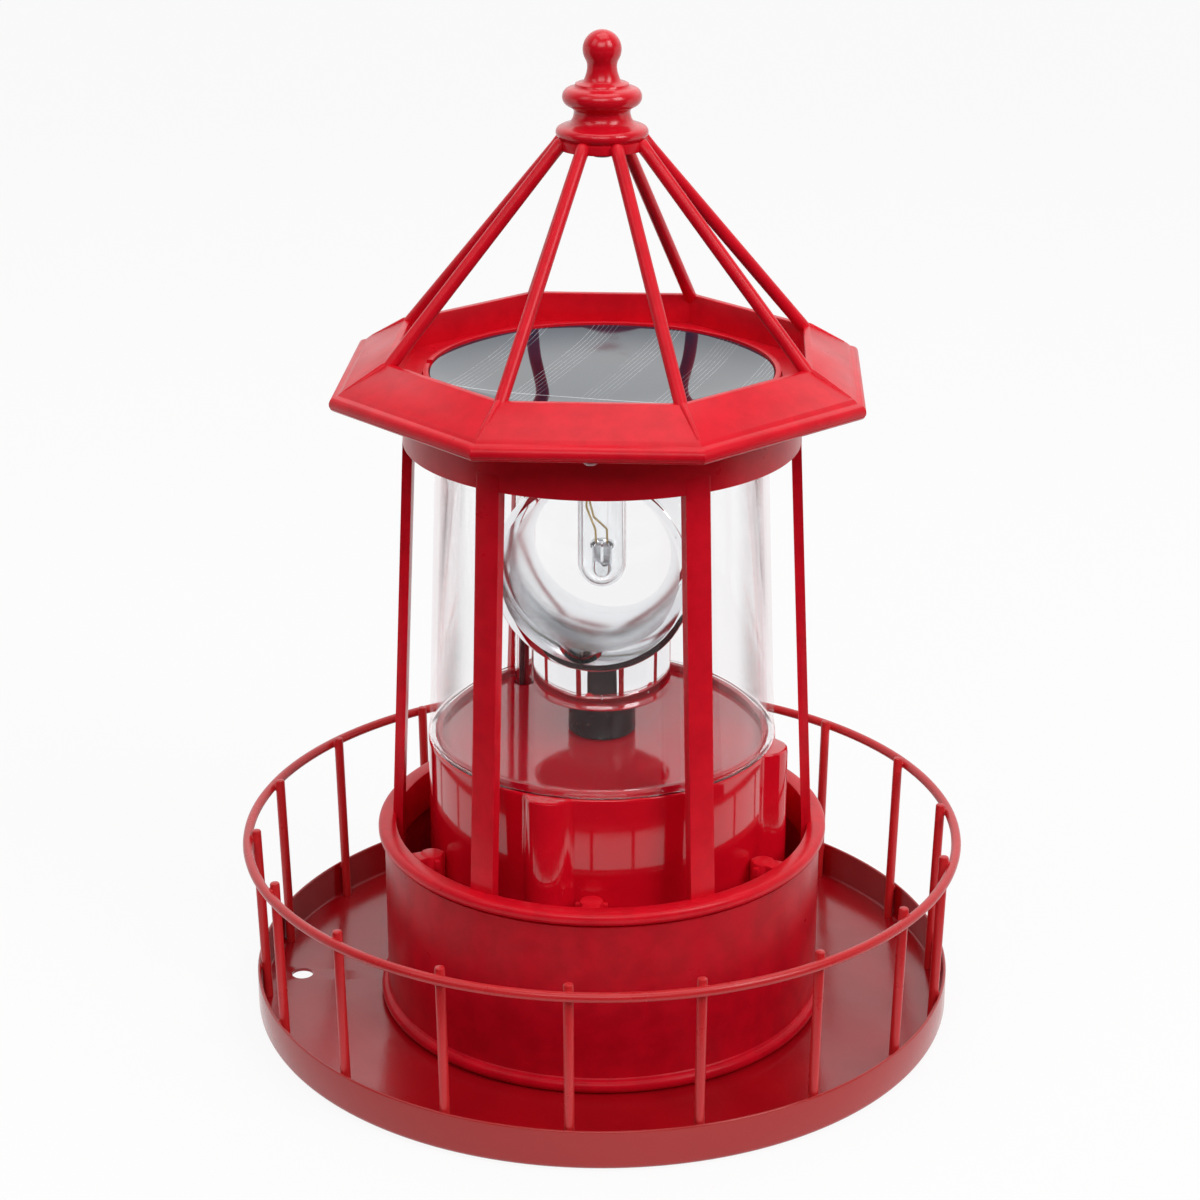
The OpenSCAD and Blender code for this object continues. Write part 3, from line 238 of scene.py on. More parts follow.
class ShaderSketch(Sketch):
    """A material's node tree."""

    def __init__(self, name: str) -> None:
        """Starts an empty material.

        Args:
            name: The material's name.
        """
        self.material = bpy.data.materials.new(name)
        self.material.use_nodes = True
        super().__init__(self.material.node_tree)
        self._coords: Wire | None = None

    @property
    def coords(self) -> Wire:
        """Object coordinates in metres, in the frame that the whole light shares."""
        if self._coords is None:
            self._coords = self.node("ShaderNodeTexCoord")["Object"]
        return self._coords

    def axis(self, name: str) -> Wire:
        """One of the object coordinates, X, Y or Z."""
        return self.node("ShaderNodeSeparateXYZ", {}, {0: self.coords})[name]

    def stretched(self, scale: Point3, turn: Point3 = (0.0, 0.0, 0.0)) -> Wire:
        """Object coordinates, scaled along each axis and turned."""
        return self.node("ShaderNodeMapping", {}, {"Vector": self.coords, "Scale": scale, "Rotation": turn})[0]

    def noise(self, scale: float, detail: float = 3.0, rough: float = 0.5, vector: Wire | None = None) -> Wire:
        """Fractal noise.

        Args:
            scale: Cells per metre.
            detail: Octaves.
            rough: Roughness of the octaves.
            vector: Where it is read; object coordinates when left out.

        Returns:
            A value around 0.5.
        """
        return self.node("ShaderNodeTexNoise", {"noise_dimensions": "3D"}, {
            "Vector": vector or self.coords, "Scale": scale, "Detail": detail, "Roughness": rough})[0]

    def specks(self, scale: float, size: float) -> Wire:
        """Sparse round dots.

        Args:
            scale: Cells per metre.
            size: Radius of a dot as a share of a cell.

        Returns:
            One in the dots, zero outside.
        """
        cell = self.node("ShaderNodeTexVoronoi", {"feature": "F1"}, {"Vector": self.coords, "Scale": scale})
        keep = self.node("ShaderNodeSeparateColor", {}, {0: cell["Color"]})["Red"] > 0.86
        return keep * (1.0 - cell["Distance"].ramp(size * 0.6, size))

    def mix(self, factor: Wire | float, low: "Wire | Colour", high: "Wire | Colour") -> Wire:
        """Mixes two colours.

        Args:
            factor: Share of the second colour.
            low: The first colour.
            high: The second colour.

        Returns:
            The mixed colour.
        """
        pair = [value if isinstance(value, Wire) else (*value, 1.0) for value in (low, high)]
        return self.node("ShaderNodeMix", {"data_type": "RGBA"}, {0: factor, 6: pair[0], 7: pair[1]})[2]

    def bump(self, height: Wire, depth: float, strength: float = 1.0, before: Wire | None = None) -> Wire:
        """Turns a height into a normal.

        Args:
            height: Height between 0 and 1.
            depth: What a height of 1 measures, in metres.
            strength: The bump's strength.
            before: A normal to build on.

        Returns:
            The normal.
        """
        inputs: dict = {"Height": height, "Distance": depth, "Strength": strength}
        if before is not None:
            inputs["Normal"] = before
        return self.node("ShaderNodeBump", {}, inputs)[0]

    def principled(self, inputs: dict) -> Wire:
        """Adds a Principled shader with the given sockets."""
        return self.node("ShaderNodeBsdfPrincipled", {}, inputs)[0]

    def finish(self, shader: Wire) -> bpy.types.Material:
        """Links a shader to the material's output.

        Args:
            shader: The surface's shader.

        Returns:
            The finished material.
        """
        self.node("ShaderNodeOutputMaterial", {"target": "ALL"}, {"Surface": shader})
        return self.material


# ---- Finishes -------------------------------------------------------------------------------------------------


@dataclass(frozen=True)
class Finish:
    """A procedural finish, whose kinds each draw their own shader."""

    name: str

    def material(self) -> bpy.types.Material:
        """Builds the material."""
        sk = ShaderSketch(self.name)
        return sk.finish(self.shader(sk))

    def shader(self, sk: ShaderSketch) -> Wire:
        """Draws the surface's shader; each kind has its own."""
        raise NotImplementedError


@dataclass(frozen=True)
class MouldedPlastic(Finish):
    """Opaque moulded plastic with a fine skin, faint flow clouds, a few dust specks and optional painted shade."""

    colour: Colour
    deep: Colour
    roughness: float = 0.3
    skin: float = 0.00001
    skin_scale: float = 2600.0
    clouds: float = 0.35
    coat: float = 0.0
    dust: float = 0.07
    gleam: float = 0.5
    painted_shade_top: Colour | None = None

    def shader(self, sk: ShaderSketch) -> Wire:
        """Draws the surface's shader.

        Args:
            sk: The material's sketch.

        Returns:
            The shader.
        """
        cloud = sk.noise(170.0, 5.0, 0.62)
        streak = sk.noise(90.0, 3.0, 0.5, sk.stretched((1.0, 1.0, 0.16)))
        colour = sk.mix((cloud * 0.7 + streak * 0.3).ramp(0.36, 0.66) * self.clouds, self.colour, self.deep)
        # Painted shade: the top face inside the lens, above 71 mm and within 41.6 mm of the axis, is darkened.
        if self.painted_shade_top is not None:
            x, y = sk.axis("X"), sk.axis("Y")
            inside = 1.0 - ((x * x + y * y) ** 0.5).ramp(0.0410, 0.0416)
            colour = sk.mix(sk.axis("Z").ramp(0.0710, 0.0718) * inside, colour, self.painted_shade_top)
        dust = sk.specks(900.0, 0.12) * self.dust
        colour = sk.mix(dust, colour, (0.75, 0.6, 0.58))
        fine = sk.noise(self.skin_scale, 2.0, 0.5)
        slow = sk.noise(150.0, 2.0, 0.5)
        normal = sk.bump(slow, 0.00006, 0.5, sk.bump(fine, self.skin, 0.6))
        rough = self.roughness + (sk.noise(90.0, 4.0, 0.6) - 0.5) * 0.14 + dust * 0.3
        return sk.principled({
            "Base Color": colour, "Roughness": rough.clamped(), "Normal": normal, "IOR": 1.5,
            "Specular IOR Level": self.gleam, "Coat Weight": self.coat, "Coat Roughness": 0.06})


@dataclass(frozen=True)
class SprayedSteel(Finish):
    """Brick-red paint on sheet and wire: orange peel, drifts of tone, dust and painted sheen on the tray's lip."""

    colour: Colour
    deep: Colour
    roughness: float = 0.36
    peel: float = 0.00003
    lip: Colour | None = None

    def shader(self, sk: ShaderSketch) -> Wire:
        """Draws the surface's shader.

        Args:
            sk: The material's sketch.

        Returns:
            The shader.
        """
        drift = sk.noise(22.0, 5.0, 0.6)
        colour = sk.mix(drift.ramp(0.32, 0.7) * 0.6, self.colour, self.deep)
        # Painted sheen and light: beyond 86.6 mm from the axis the tray's outer lip turns lighter and pinker.
        if self.lip is not None:
            x, y = sk.axis("X"), sk.axis("Y")
            out = ((x * x + y * y) ** 0.5).ramp(0.0866, 0.0872)
            colour = sk.mix(out * (0.7 + drift * 0.5), colour, self.lip)
        grain = sk.specks(1100.0, 0.16)
        colour = sk.mix(grain * 0.08, colour, (0.62, 0.30, 0.28))
        peel = sk.noise(900.0, 2.0, 0.5)
        slow = sk.noise(70.0, 2.0, 0.5)
        normal = sk.bump(slow, 0.0002, 0.4, sk.bump(peel, self.peel, 0.7))
        rough = self.roughness + (sk.noise(120.0, 4.0, 0.6) - 0.5) * 0.2
        return sk.principled({
            "Base Color": colour, "Roughness": rough.clamped(), "Normal": normal, "IOR": 1.48,
            "Specular IOR Level": 0.4, "Coat Weight": 0.12, "Coat Roughness": 0.2})


@dataclass(frozen=True)
class Mirror(Finish):
    """Vacuum-metallised plastic: bright, with slow ripples, hairline marks and tiny pits."""

    colour: Colour = (0.9, 0.905, 0.915)
    roughness: float = 0.035
    waves: float = 0.00012

    def shader(self, sk: ShaderSketch) -> Wire:
        """Draws the surface's shader.

        Args:
            sk: The material's sketch.

        Returns:
            The shader.
        """
        ripple = sk.noise(85.0, 2.0, 0.4)
        scratch = sk.noise(160.0, 6.0, 0.7, sk.stretched((1.0, 1.0, 14.0), (0.4, 0.2, 0.5)))
        marks = scratch.ramp(0.7, 0.76)
        pits = sk.specks(520.0, 0.14)
        normal = sk.bump(marks + pits, 0.00002, 0.35, sk.bump(ripple, self.waves, 0.55))
        rough = self.roughness + marks * 0.1 + pits * 0.25 + (sk.noise(60.0) - 0.5) * 0.03
        colour = sk.mix(pits * 0.5, self.colour, (0.45, 0.45, 0.47))
        return sk.principled({
            "Base Color": colour, "Metallic": 1.0, "Roughness": rough.clamped(), "Normal": normal})


@dataclass(frozen=True)
class ClearMoulding(Finish):
    """Clear plastic or glass, through which lamps reach what is inside."""

    tint: Colour = (0.985, 0.99, 0.995)
    ior: float = 1.49
    roughness: float = 0.01
    ripple: float = 0.00004
    pass_light: float = 0.92
    calm_edge: float = 0.0

    def shader(self, sk: ShaderSketch) -> Wire:
        """Draws the surface's shader.

        Args:
            sk: The material's sketch.

        Returns:
            The shader.
        """
        draw = sk.noise(55.0, 2.0, 0.5, sk.stretched((1.0, 1.0, 0.12)))
        haze = sk.noise(240.0, 4.0, 0.6)
        normal = sk.bump(draw, self.ripple, 0.5)
        rough = self.roughness + haze.ramp(0.55, 0.8) * 0.03
        clear = sk.principled({
            "Base Color": (*self.tint, 1.0), "Roughness": rough, "IOR": self.ior,
            "Transmission Weight": 1.0, "Normal": normal})
        through = sk.node("ShaderNodeBsdfTransparent", {}, {
            "Color": tuple(self.pass_light * c for c in self.tint) + (1.0,)})[0]
        if self.calm_edge > 0:
            facing = sk.node("ShaderNodeLayerWeight", {}, {"Blend": 0.5})["Facing"]
            calm = facing.ramp(0.5, 0.76) * self.calm_edge
            plain = sk.node("ShaderNodeBsdfTransparent", {}, {"Color": (0.97, 0.945, 0.95, 1.0)})[0]
            clear = sk.node("ShaderNodeMixShader", {}, {0: calm, 1: clear, 2: plain})[0]
        shadow = sk.node("ShaderNodeLightPath")["Is Shadow Ray"]
        both = sk.node("ShaderNodeMixShader", {}, {0: shadow, 1: clear, 2: through})[0]
        return both


@dataclass(frozen=True)
class CellGlass(Finish):
    """Dark solar cell under a flat clear face, with fine finger lines and one bus line."""

    base: Colour = (0.006, 0.018, 0.036)
    line: Colour = (0.62, 0.66, 0.70)
    finger_turn: float = 71.0
    finger_pitch: float = 0.00115
    bus_turn: float = -14.1
    bus_off: float = 0.0184

    def shader(self, sk: ShaderSketch) -> Wire:
        """Draws the surface's shader.

        Args:
            sk: The material's sketch.

        Returns:
            The shader.
        """
        across = self._across(sk, self.finger_turn)
        fine = 1.0 - abs(across).wrap(self.finger_pitch).ramp(0.00004, 0.00011)
        group = (across + 0.0045).wrap(0.0165).ramp(0.0031, 0.0036)
        broken = sk.noise(70.0, 3.0, 0.6).ramp(0.4, 0.56)
        fingers = fine * (1.0 - group) * (0.35 + broken * 0.65)
        bus = 1.0 - abs(self._across(sk, self.bus_turn) + self.bus_off).ramp(0.00012, 0.00028)
        lines = (fingers * 0.55 + bus).clamped()
        cloud = sk.noise(26.0, 3.0, 0.55)
        colour = sk.mix(cloud.ramp(0.35, 0.7), self.base, tuple(c * 1.7 for c in self.base))
        colour = sk.mix(lines * 0.9, colour, self.line)
        rough = 0.035 + sk.noise(130.0, 4.0, 0.6).ramp(0.5, 0.75) * 0.05
        normal = sk.bump(sk.noise(45.0, 2.0, 0.5), 0.00003, 0.3)
        return sk.principled({
            "Base Color": colour, "Roughness": rough, "Normal": normal, "IOR": 1.5,
            "Coat Weight": 0.03, "Coat Roughness": 0.02})

    @staticmethod
    def _across(sk: ShaderSketch, degrees: float) -> Wire:
        """Distance in metres from the line through the axis that is turned by so many degrees from X."""
        turn = math.radians(degrees)
        return sk.axis("X") * -math.sin(turn) + sk.axis("Y") * math.cos(turn)


@dataclass(frozen=True)
class PlainMetal(Finish):
    """Bare metal with fine turning or drawing marks."""

    colour: Colour
    roughness: float = 0.28
    marks: float = 0.00001
    direction: Point3 = (1.0, 1.0, 30.0)

    def shader(self, sk: ShaderSketch) -> Wire:
        """Draws the surface's shader.

        Args:
            sk: The material's sketch.

        Returns:
            The shader.
        """
        lines = sk.noise(700.0, 3.0, 0.6, sk.stretched(self.direction))
        stain = sk.noise(150.0, 4.0, 0.6)
        colour = sk.mix(stain.ramp(0.4, 0.75) * 0.4, self.colour, tuple(c * 0.72 for c in self.colour))
        rough = self.roughness + (lines - 0.5) * 0.2 + (stain - 0.5) * 0.12
        return sk.principled({
            "Base Color": colour, "Metallic": 1.0, "Roughness": rough.clamped(),
            "Normal": sk.bump(lines, self.marks, 0.5)})


@dataclass(frozen=True)
class PlainPolymer(Finish):
    """Small opaque parts of rubber, board or plastic, with a fine grain."""

    colour: Colour
    accent: Colour
    roughness: float = 0.45
    grain_scale: float = 1500.0
    grain: float = 0.00001

    def shader(self, sk: ShaderSketch) -> Wire:
        """Draws the surface's shader.

        Args:
            sk: The material's sketch.

        Returns:
            The shader.
        """
        tone = sk.noise(180.0, 4.0, 0.6)
        grain = sk.noise(self.grain_scale, 2.0, 0.5)
        colour = sk.mix(tone.ramp(0.35, 0.72) * 0.7, self.colour, self.accent)
        rough = self.roughness + (tone - 0.5) * 0.2
        return sk.principled({
            "Base Color": colour, "Roughness": rough.clamped(), "IOR": 1.5,
            "Normal": sk.bump(grain, self.grain, 0.6)})


class Finishes:
    """Every finish of the light, made once."""

    def __init__(self) -> None:
        """Builds the materials."""
        self.shell = MouldedPlastic("shell_red", (0.76, 0.006, 0.020), (0.56, 0.003, 0.012), clouds=0.55,
                                    gleam=0.24).material()
        # Painted shade: the drum is the shell's red plastic in a darker colour, for the lower light that it gets.
        self.drum = MouldedPlastic("drum_red", (0.60, 0.003, 0.015), (0.44, 0.002, 0.010), clouds=0.8,
                                   gleam=0.14).material()
        self.turned = MouldedPlastic("turned_red", (0.72, 0.005, 0.018), (0.58, 0.003, 0.013),
                                     roughness=0.2).material()
        # The glossy base's top face inside the lens gets painted shade from the roof above.
        self.gloss = MouldedPlastic("gloss_red", (0.70, 0.003, 0.015), (0.58, 0.002, 0.011), roughness=0.09,
                                    skin=0.000002, clouds=0.3, coat=0.4, painted_shade_top=(0.37, 0.002, 0.010)).material()
        # The deck's lip colour is painted sheen and light on the tray's outer lip.
        self.deck = SprayedSteel("deck_paint", (0.37, 0.003, 0.008), (0.25, 0.002, 0.006), 0.18,
                                 lip=(0.42, 0.024, 0.024)).material()
        # Painted light and sheen: the rail, rods and welds take the tray's paint in a lighter, pinker colour.
        self.rail = SprayedSteel("rail_paint", (0.62, 0.020, 0.024), (0.48, 0.012, 0.016), 0.3).material()
        self.mirror = Mirror("metallised").material()
        self.satin = Mirror("metallised_bore", (0.86, 0.87, 0.885), 0.2, 0.00003).material()
        self.lens = ClearMoulding("clear_lens", (0.985, 0.985, 0.99), ior=1.3, calm_edge=0.94).material()
        self.glass = ClearMoulding("lamp_glass", (0.97, 0.98, 0.985), ior=1.5, ripple=0.00002).material()
        self.resin = ClearMoulding("led_resin", (0.93, 0.94, 0.95), ior=1.45, roughness=0.05,
                                   ripple=0.00003).material()
        self.cell = CellGlass("solar_cell").material()
        self.steel = PlainMetal("plated_steel", (0.62, 0.62, 0.64)).material()
        self.brass = PlainMetal("brass", (0.72, 0.52, 0.22), roughness=0.32).material()
        self.black = PlainPolymer("black_plastic", (0.008, 0.008, 0.009), (0.016, 0.016, 0.017), 0.25).material()
        self.rubber = PlainPolymer("black_rubber", (0.02, 0.02, 0.02), (0.035, 0.034, 0.033), 0.7).material()
        self.board = PlainPolymer("board_green", (0.01, 0.12, 0.04), (0.02, 0.2, 0.07), 0.35).material()
        self.sleeve = PlainPolymer("cell_sleeve", (0.04, 0.25, 0.07), (0.05, 0.3, 0.09), 0.3).material()
        self.pale = PlainPolymer("pale_nylon", (0.72, 0.69, 0.6), (0.66, 0.62, 0.52), 0.5).material()
        self.wire_dark = PlainPolymer("wire_dark", (0.03, 0.008, 0.01), (0.06, 0.01, 0.014), 0.4).material()
        self.wire_red = PlainPolymer("wire_red", (0.35, 0.01, 0.02), (0.25, 0.008, 0.014), 0.4).material()
        LOG.info("finishes made")


# ---- Mesh tools -----------------------------------------------------------------------------------------------


def rect(left: float, right: float, low: float, high: float) -> list[Point2]:
    """Corners of a rectangle, anticlockwise."""
    return [(left, low), (right, low), (right, high), (left, high)]


def arc(centre: Point2, radius: float, start: float, stop: float, steps: int = 8) -> list[Point2]:
    """Points of an arc.

    Args:
        centre: Its centre.
        radius: Its radius.
        start: First angle in degrees.
        stop: Last angle in degrees.
        steps: Pieces that it is divided into.

    Returns:
        The points, both ends included.
    """
    turn = [math.radians(start + (stop - start) * i / steps) for i in range(steps + 1)]
    return [(centre[0] + radius * math.cos(a), centre[1] + radius * math.sin(a)) for a in turn]


def softened(points: list[Point2], radius: float, steps: int = 3, keep: frozenset[int] = frozenset()) -> list[Point2]:
    """Rounds the corners of a closed outline.

    Args:
        points: The outline's corners.
        radius: Radius of the rounding, less where a side is short.
        steps: Pieces of each rounding.
        keep: Corners that stay sharp.

    Returns:
        The rounded outline.
    """
    out: list[Point2] = []
    count = len(points)
    for i, corner in enumerate(points):
        here = Vector(corner)
        back = Vector(points[i - 1]) - here
        ahead = Vector(points[(i + 1) % count]) - here
        angle = back.angle(ahead, math.pi) if back.length > 1e-6 and ahead.length > 1e-6 else math.pi
        if i in keep or angle > math.radians(168):
            out.append(corner)
            continue
        reach = min(radius / math.tan(angle / 2), back.length * 0.45, ahead.length * 0.45)
        first = here + back.normalized() * reach
        last = here + ahead.normalized() * reach
        for step in range(steps + 1):
            t = step / steps
            mid = first * (1 - t) ** 2 + here * 2 * t * (1 - t) + last * t ** 2
            out.append((mid.x, mid.y))
    return out


def outward(azimuth: float, radius: float = 0.0, height: float = 0.0) -> Matrix:
    """A place on the light whose +X points away from the axis.

    Args:
        azimuth: Azimuth in degrees.
        radius: Distance from the axis in millimetres.
        height: Height in millimetres.

    Returns:
        The placing matrix, in metres.
    """
    turn = Matrix.Rotation(math.radians(azimuth - 90), 4, "Z")
    return turn @ Matrix.Translation((radius * MM, 0.0, height * MM))


def shade(bm: bmesh.types.BMesh, smooth_under: float) -> None:
    """Shades a mesh smooth, apart from its sharper edges.

    Args:
        bm: The mesh.
        smooth_under: Edges flatter than this many degrees are shaded smooth.
    """
    for face in bm.faces:
        face.smooth = True
    for edge in bm.edges:
        edge.smooth = edge.is_manifold and edge.calc_face_angle(0.0) < math.radians(smooth_under)


class Solid:
    """A mesh under construction, in metres."""

    def __init__(self) -> None:
        """Starts an empty mesh."""
        self.bm = bmesh.new()

    def lathe(self, profile: list[Point2], segments: int = 160, first: float = 0.0,
              place: Matrix | None = None) -> "Solid":
        """Turns a closed profile of (radius, height) about Z.

        Args:
            profile: The outline in millimetres.
            segments: Flats round the axis.
            first: Angle of the first seam in degrees from +X.
            place: Where the turned shape goes.

        Returns:
            This solid.
        """
        rings: list[list[bmesh.types.BMVert]] = []
        for radius, height in profile:
            if radius < 1e-4:
                rings.append([self.bm.verts.new((0.0, 0.0, height * MM))])
                continue
            turns = [math.radians(first + 360.0 * s / segments) for s in range(segments)]
            rings.append([self.bm.verts.new((radius * MM * math.cos(a), radius * MM * math.sin(a), height * MM))
                          for a in turns])
        faces = []
        for low, high in zip(rings, rings[1:] + rings[:1]):
            for s in range(segments):
                t = (s + 1) % segments
                loop = [low[s % len(low)], low[t % len(low)], high[t % len(high)], high[s % len(high)]]
                unique = list(dict.fromkeys(loop))
                if len(unique) >= 3:
                    faces.append(self.bm.faces.new(unique))
        self._settle([v for ring in rings for v in ring], faces, place)
        return self

    def prism(self, outline: list[Point2], low: float, high: float, place: Matrix | None = None,
              edge: float = 0.0) -> "Solid":
        """Raises an outline along Z.

        Args:
            outline: The outline in millimetres.
            low: Lower height.
            high: Upper height.
            place: Where the shape goes.
            edge: Width that its edges are broken by.

        Returns:
            This solid.
        """
        bottom = [self.bm.verts.new((x * MM, y * MM, low * MM)) for x, y in outline]
        top = [self.bm.verts.new((x * MM, y * MM, high * MM)) for x, y in outline]
        count = len(outline)
        faces = [self.bm.faces.new(bottom[::-1]), self.bm.faces.new(top)]
        for i in range(count):
            j = (i + 1) % count
            faces.append(self.bm.faces.new([bottom[i], bottom[j], top[j], top[i]]))
        verts = bottom + top
        if edge > 0:
            rim = [e for f in faces[:2] for e in f.edges]
            sharp = [e for e in {e for f in faces for e in f.edges} if e in rim or e.calc_face_angle(0.0) > 0.6]
            made = bmesh.ops.bevel(self.bm, geom=sharp, offset=edge * MM, segments=2, profile=0.6, affect="EDGES")
            verts = list({v for f in made["faces"] for v in f.verts} | {v for v in verts if v.is_valid})
            faces = list({f for v in verts for f in v.link_faces})
        self._settle(verts, faces, place)
        return self

    def loft(self, rings: list[list[Vector]], place: Matrix | None = None, closed: bool = False) -> "Solid":
        """Joins rings of points.

        Args:
            rings: Rings of equally many points, in metres.
            place: Where the shape goes.
            closed: Whether the last ring joins the first. Otherwise both ends get a flat cap.

        Returns:
            This solid.
        """
        loops = [[self.bm.verts.new(point) for point in ring] for ring in rings]
        faces = [] if closed else [self.bm.faces.new(loops[0][::-1]), self.bm.faces.new(loops[-1])]
        count = len(loops[0])
        for low, high in zip(loops, loops[1:] + (loops[:1] if closed else [])):
            for s in range(count):
                t = (s + 1) % count
                faces.append(self.bm.faces.new([low[s], low[t], high[t], high[s]]))
        self._settle([v for loop in loops for v in loop], faces, place)
        return self

    def tube(self, path: list[Vector], radius: float, sides: int = 16, place: Matrix | None = None) -> "Solid":
        """Sweeps a circle along a path, with closed ends.

        Args:
            path: Points in millimetres.
            radius: Radius in millimetres.
            sides: Flats round the path.
            place: Where the shape goes.

        Returns:
            This solid.
        """
        rings = []
        side = Vector((1.0, 0.0, 0.0))
        for i, point in enumerate(path):
            ahead = (path[min(i + 1, len(path) - 1)] - path[max(i - 1, 0)]).normalized()
            side = (side - ahead * side.dot(ahead)).normalized()
            other = ahead.cross(side)
            rings.append([(point + (side * math.cos(a) + other * math.sin(a)) * radius) * MM
                          for a in (2 * math.pi * s / sides for s in range(sides))])
        return self.loft(rings, place)

    def _settle(self, verts: list, faces: list, place: Matrix | None) -> None:
        """Turns new faces outwards and puts them in place.

        Args:
            verts: The new vertices.
            faces: The new faces.
            place: Where they go.
        """
        bmesh.ops.recalc_face_normals(self.bm, faces=[f for f in faces if f.is_valid])
        if place is not None:
            bmesh.ops.transform(self.bm, matrix=place, verts=[v for v in verts if v.is_valid])

    def mesh(self, name: str, smooth_under: float = 32.0) -> bpy.types.Mesh:
        """Finishes the mesh.

        Args:
            name: The mesh's name.
            smooth_under: Edges flatter than this many degrees are shaded smooth.

        Returns:
            The mesh.
        """
        shade(self.bm, smooth_under)
        mesh = bpy.data.meshes.new(name)
        self.bm.to_mesh(mesh)
        self.bm.free()
        return mesh


def new_object(name: str, mesh: bpy.types.Mesh, material: bpy.types.Material | None = None) -> bpy.types.Object:
    """Puts a mesh in the scene.

    Args:
        name: The object's name.
        mesh: Its mesh.
        material: Its finish.

    Returns:
        The object.
    """
    piece = bpy.data.objects.new(name, mesh)
    bpy.context.scene.collection.objects.link(piece)
    if material is not None:
        mesh.materials.clear()
        mesh.materials.append(material)
    return piece


def settle_modifiers(piece: bpy.types.Object, smooth_under: float = 32.0) -> bpy.types.Object:
    """Replaces an object's mesh with its evaluated one and drops its modifiers.

    Args:
        piece: The object.
        smooth_under: Edges flatter than this many degrees are shaded smooth.

    Returns:
        The same object.
    """
    graph = bpy.context.evaluated_depsgraph_get()
    result = bpy.data.meshes.new_from_object(piece.evaluated_get(graph))
    piece.modifiers.clear()
    piece.data = result
    bm = bmesh.new()
    bm.from_mesh(result)
    bmesh.ops.remove_doubles(bm, verts=bm.verts, dist=1e-7)
    shade(bm, smooth_under)
    bm.to_mesh(result)
    bm.free()
    return piece


def pierced(piece: bpy.types.Object, cutter: Solid) -> bpy.types.Object:
    """Cuts a solid out of a piece.

    Args:
        piece: The piece.
        cutter: What is cut away.

    Returns:
        The cut piece.
    """
    tool = new_object(piece.name + "_cutter", cutter.mesh("cutter"))
    modifier = piece.modifiers.new("cut", "BOOLEAN")
    modifier.operation = "DIFFERENCE"
    modifier.solver = "EXACT"
    modifier.use_self = True
    modifier.object = tool
    settle_modifiers(piece)
    bpy.data.objects.remove(tool)
    return piece


def hand_over(piece: bpy.types.Object, body: Body, slot: Slot, *nodes: str) -> bpy.types.Object:
    """Tells the frame what a finished piece rides on and stands for.

    Args:
        piece: The finished piece.
        body: The body that it rides on.
        slot: The record's material slot; not used.
        nodes: CAD nodes that it stands for.

    Returns:
        The piece.
    """
    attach(piece, body.value)
    if nodes:
        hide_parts(*nodes)
    LOG.info("%s rides on %s, %d faces", piece.name, body.value, len(piece.data.polygons))
    return piece


def deliver(name: str, solid: Solid, finish: bpy.types.Material, slot: Slot, *nodes: str,
            body: Body = Body.HOUSING, smooth_under: float = 32.0) -> bpy.types.Object:
    """Makes a piece of a solid and hands it over.

    Args:
        name: The piece's name.
        solid: Its shape.
        finish: Its finish.
        slot: The record's material slot; passed on, but not used.
        nodes: CAD nodes that it stands for.
        body: The body that it rides on.
        smooth_under: Edges flatter than this many degrees are shaded smooth.

    Returns:
        The piece.
    """
    return hand_over(new_object(name, solid.mesh(name, smooth_under), finish), body, slot, *nodes)


# ---- Geometry Nodes -------------------------------------------------------------------------------------------


class GeoSketch(Sketch):
    """A Geometry Nodes tree."""

    def __init__(self, name: str, inputs: dict[str, tuple[str, float | int | None]]) -> None:
        """Starts a tree with named inputs and a geometry output.

        Args:
            name: The tree's name.
            inputs: Kind and default value of each input, by its name.
        """
        self.tree = bpy.data.node_groups.new(name, "GeometryNodeTree")
        super().__init__(self.tree)
        self.tree.interface.new_socket("Geometry", in_out="OUTPUT", socket_type="NodeSocketGeometry")
        self.ids: dict[str, str] = {}
        for title, (kind, default) in inputs.items():
            item = self.tree.interface.new_socket(title, in_out="INPUT", socket_type="NodeSocket" + kind)
            if default is not None:
                item.default_value = default
            self.ids[title] = item.identifier
        self.entry = self.node("NodeGroupInput")

    def source(self, title: str) -> Wire:
        """Geometry of the object that an input names."""
        return self.node("GeometryNodeObjectInfo", {"transform_space": "ORIGINAL"},
                         {"Object": self.entry[title]})["Geometry"]

    def close(self, geometry: Wire) -> None:
        """Realises the instances, sets the material and links the output.

        Args:
            geometry: What the tree made.
        """
        real = self.node("GeometryNodeRealizeInstances", {}, {0: geometry})[0]
        dressed = self.node("GeometryNodeSetMaterial", {}, {"Geometry": real, "Material": self.entry["Material"]})[0]
        self.node("NodeGroupOutput", {}, {0: dressed})

    def run(self, name: str, values: dict, smooth_under: float = 32.0) -> bpy.types.Object:
        """Runs the tree on an empty mesh and keeps the result as a plain one.

        Args:
            name: The new piece's name.
            values: Values of the named inputs.
            smooth_under: Edges flatter than this many degrees are shaded smooth.

        Returns:
            The piece.
        """
        piece = new_object(name, bpy.data.meshes.new(name))
        modifier = piece.modifiers.new("rule", "NODES")
        modifier.node_group = self.tree
        for key, value in values.items():
            modifier[self.ids[key]] = value
        return settle_modifiers(piece, smooth_under)


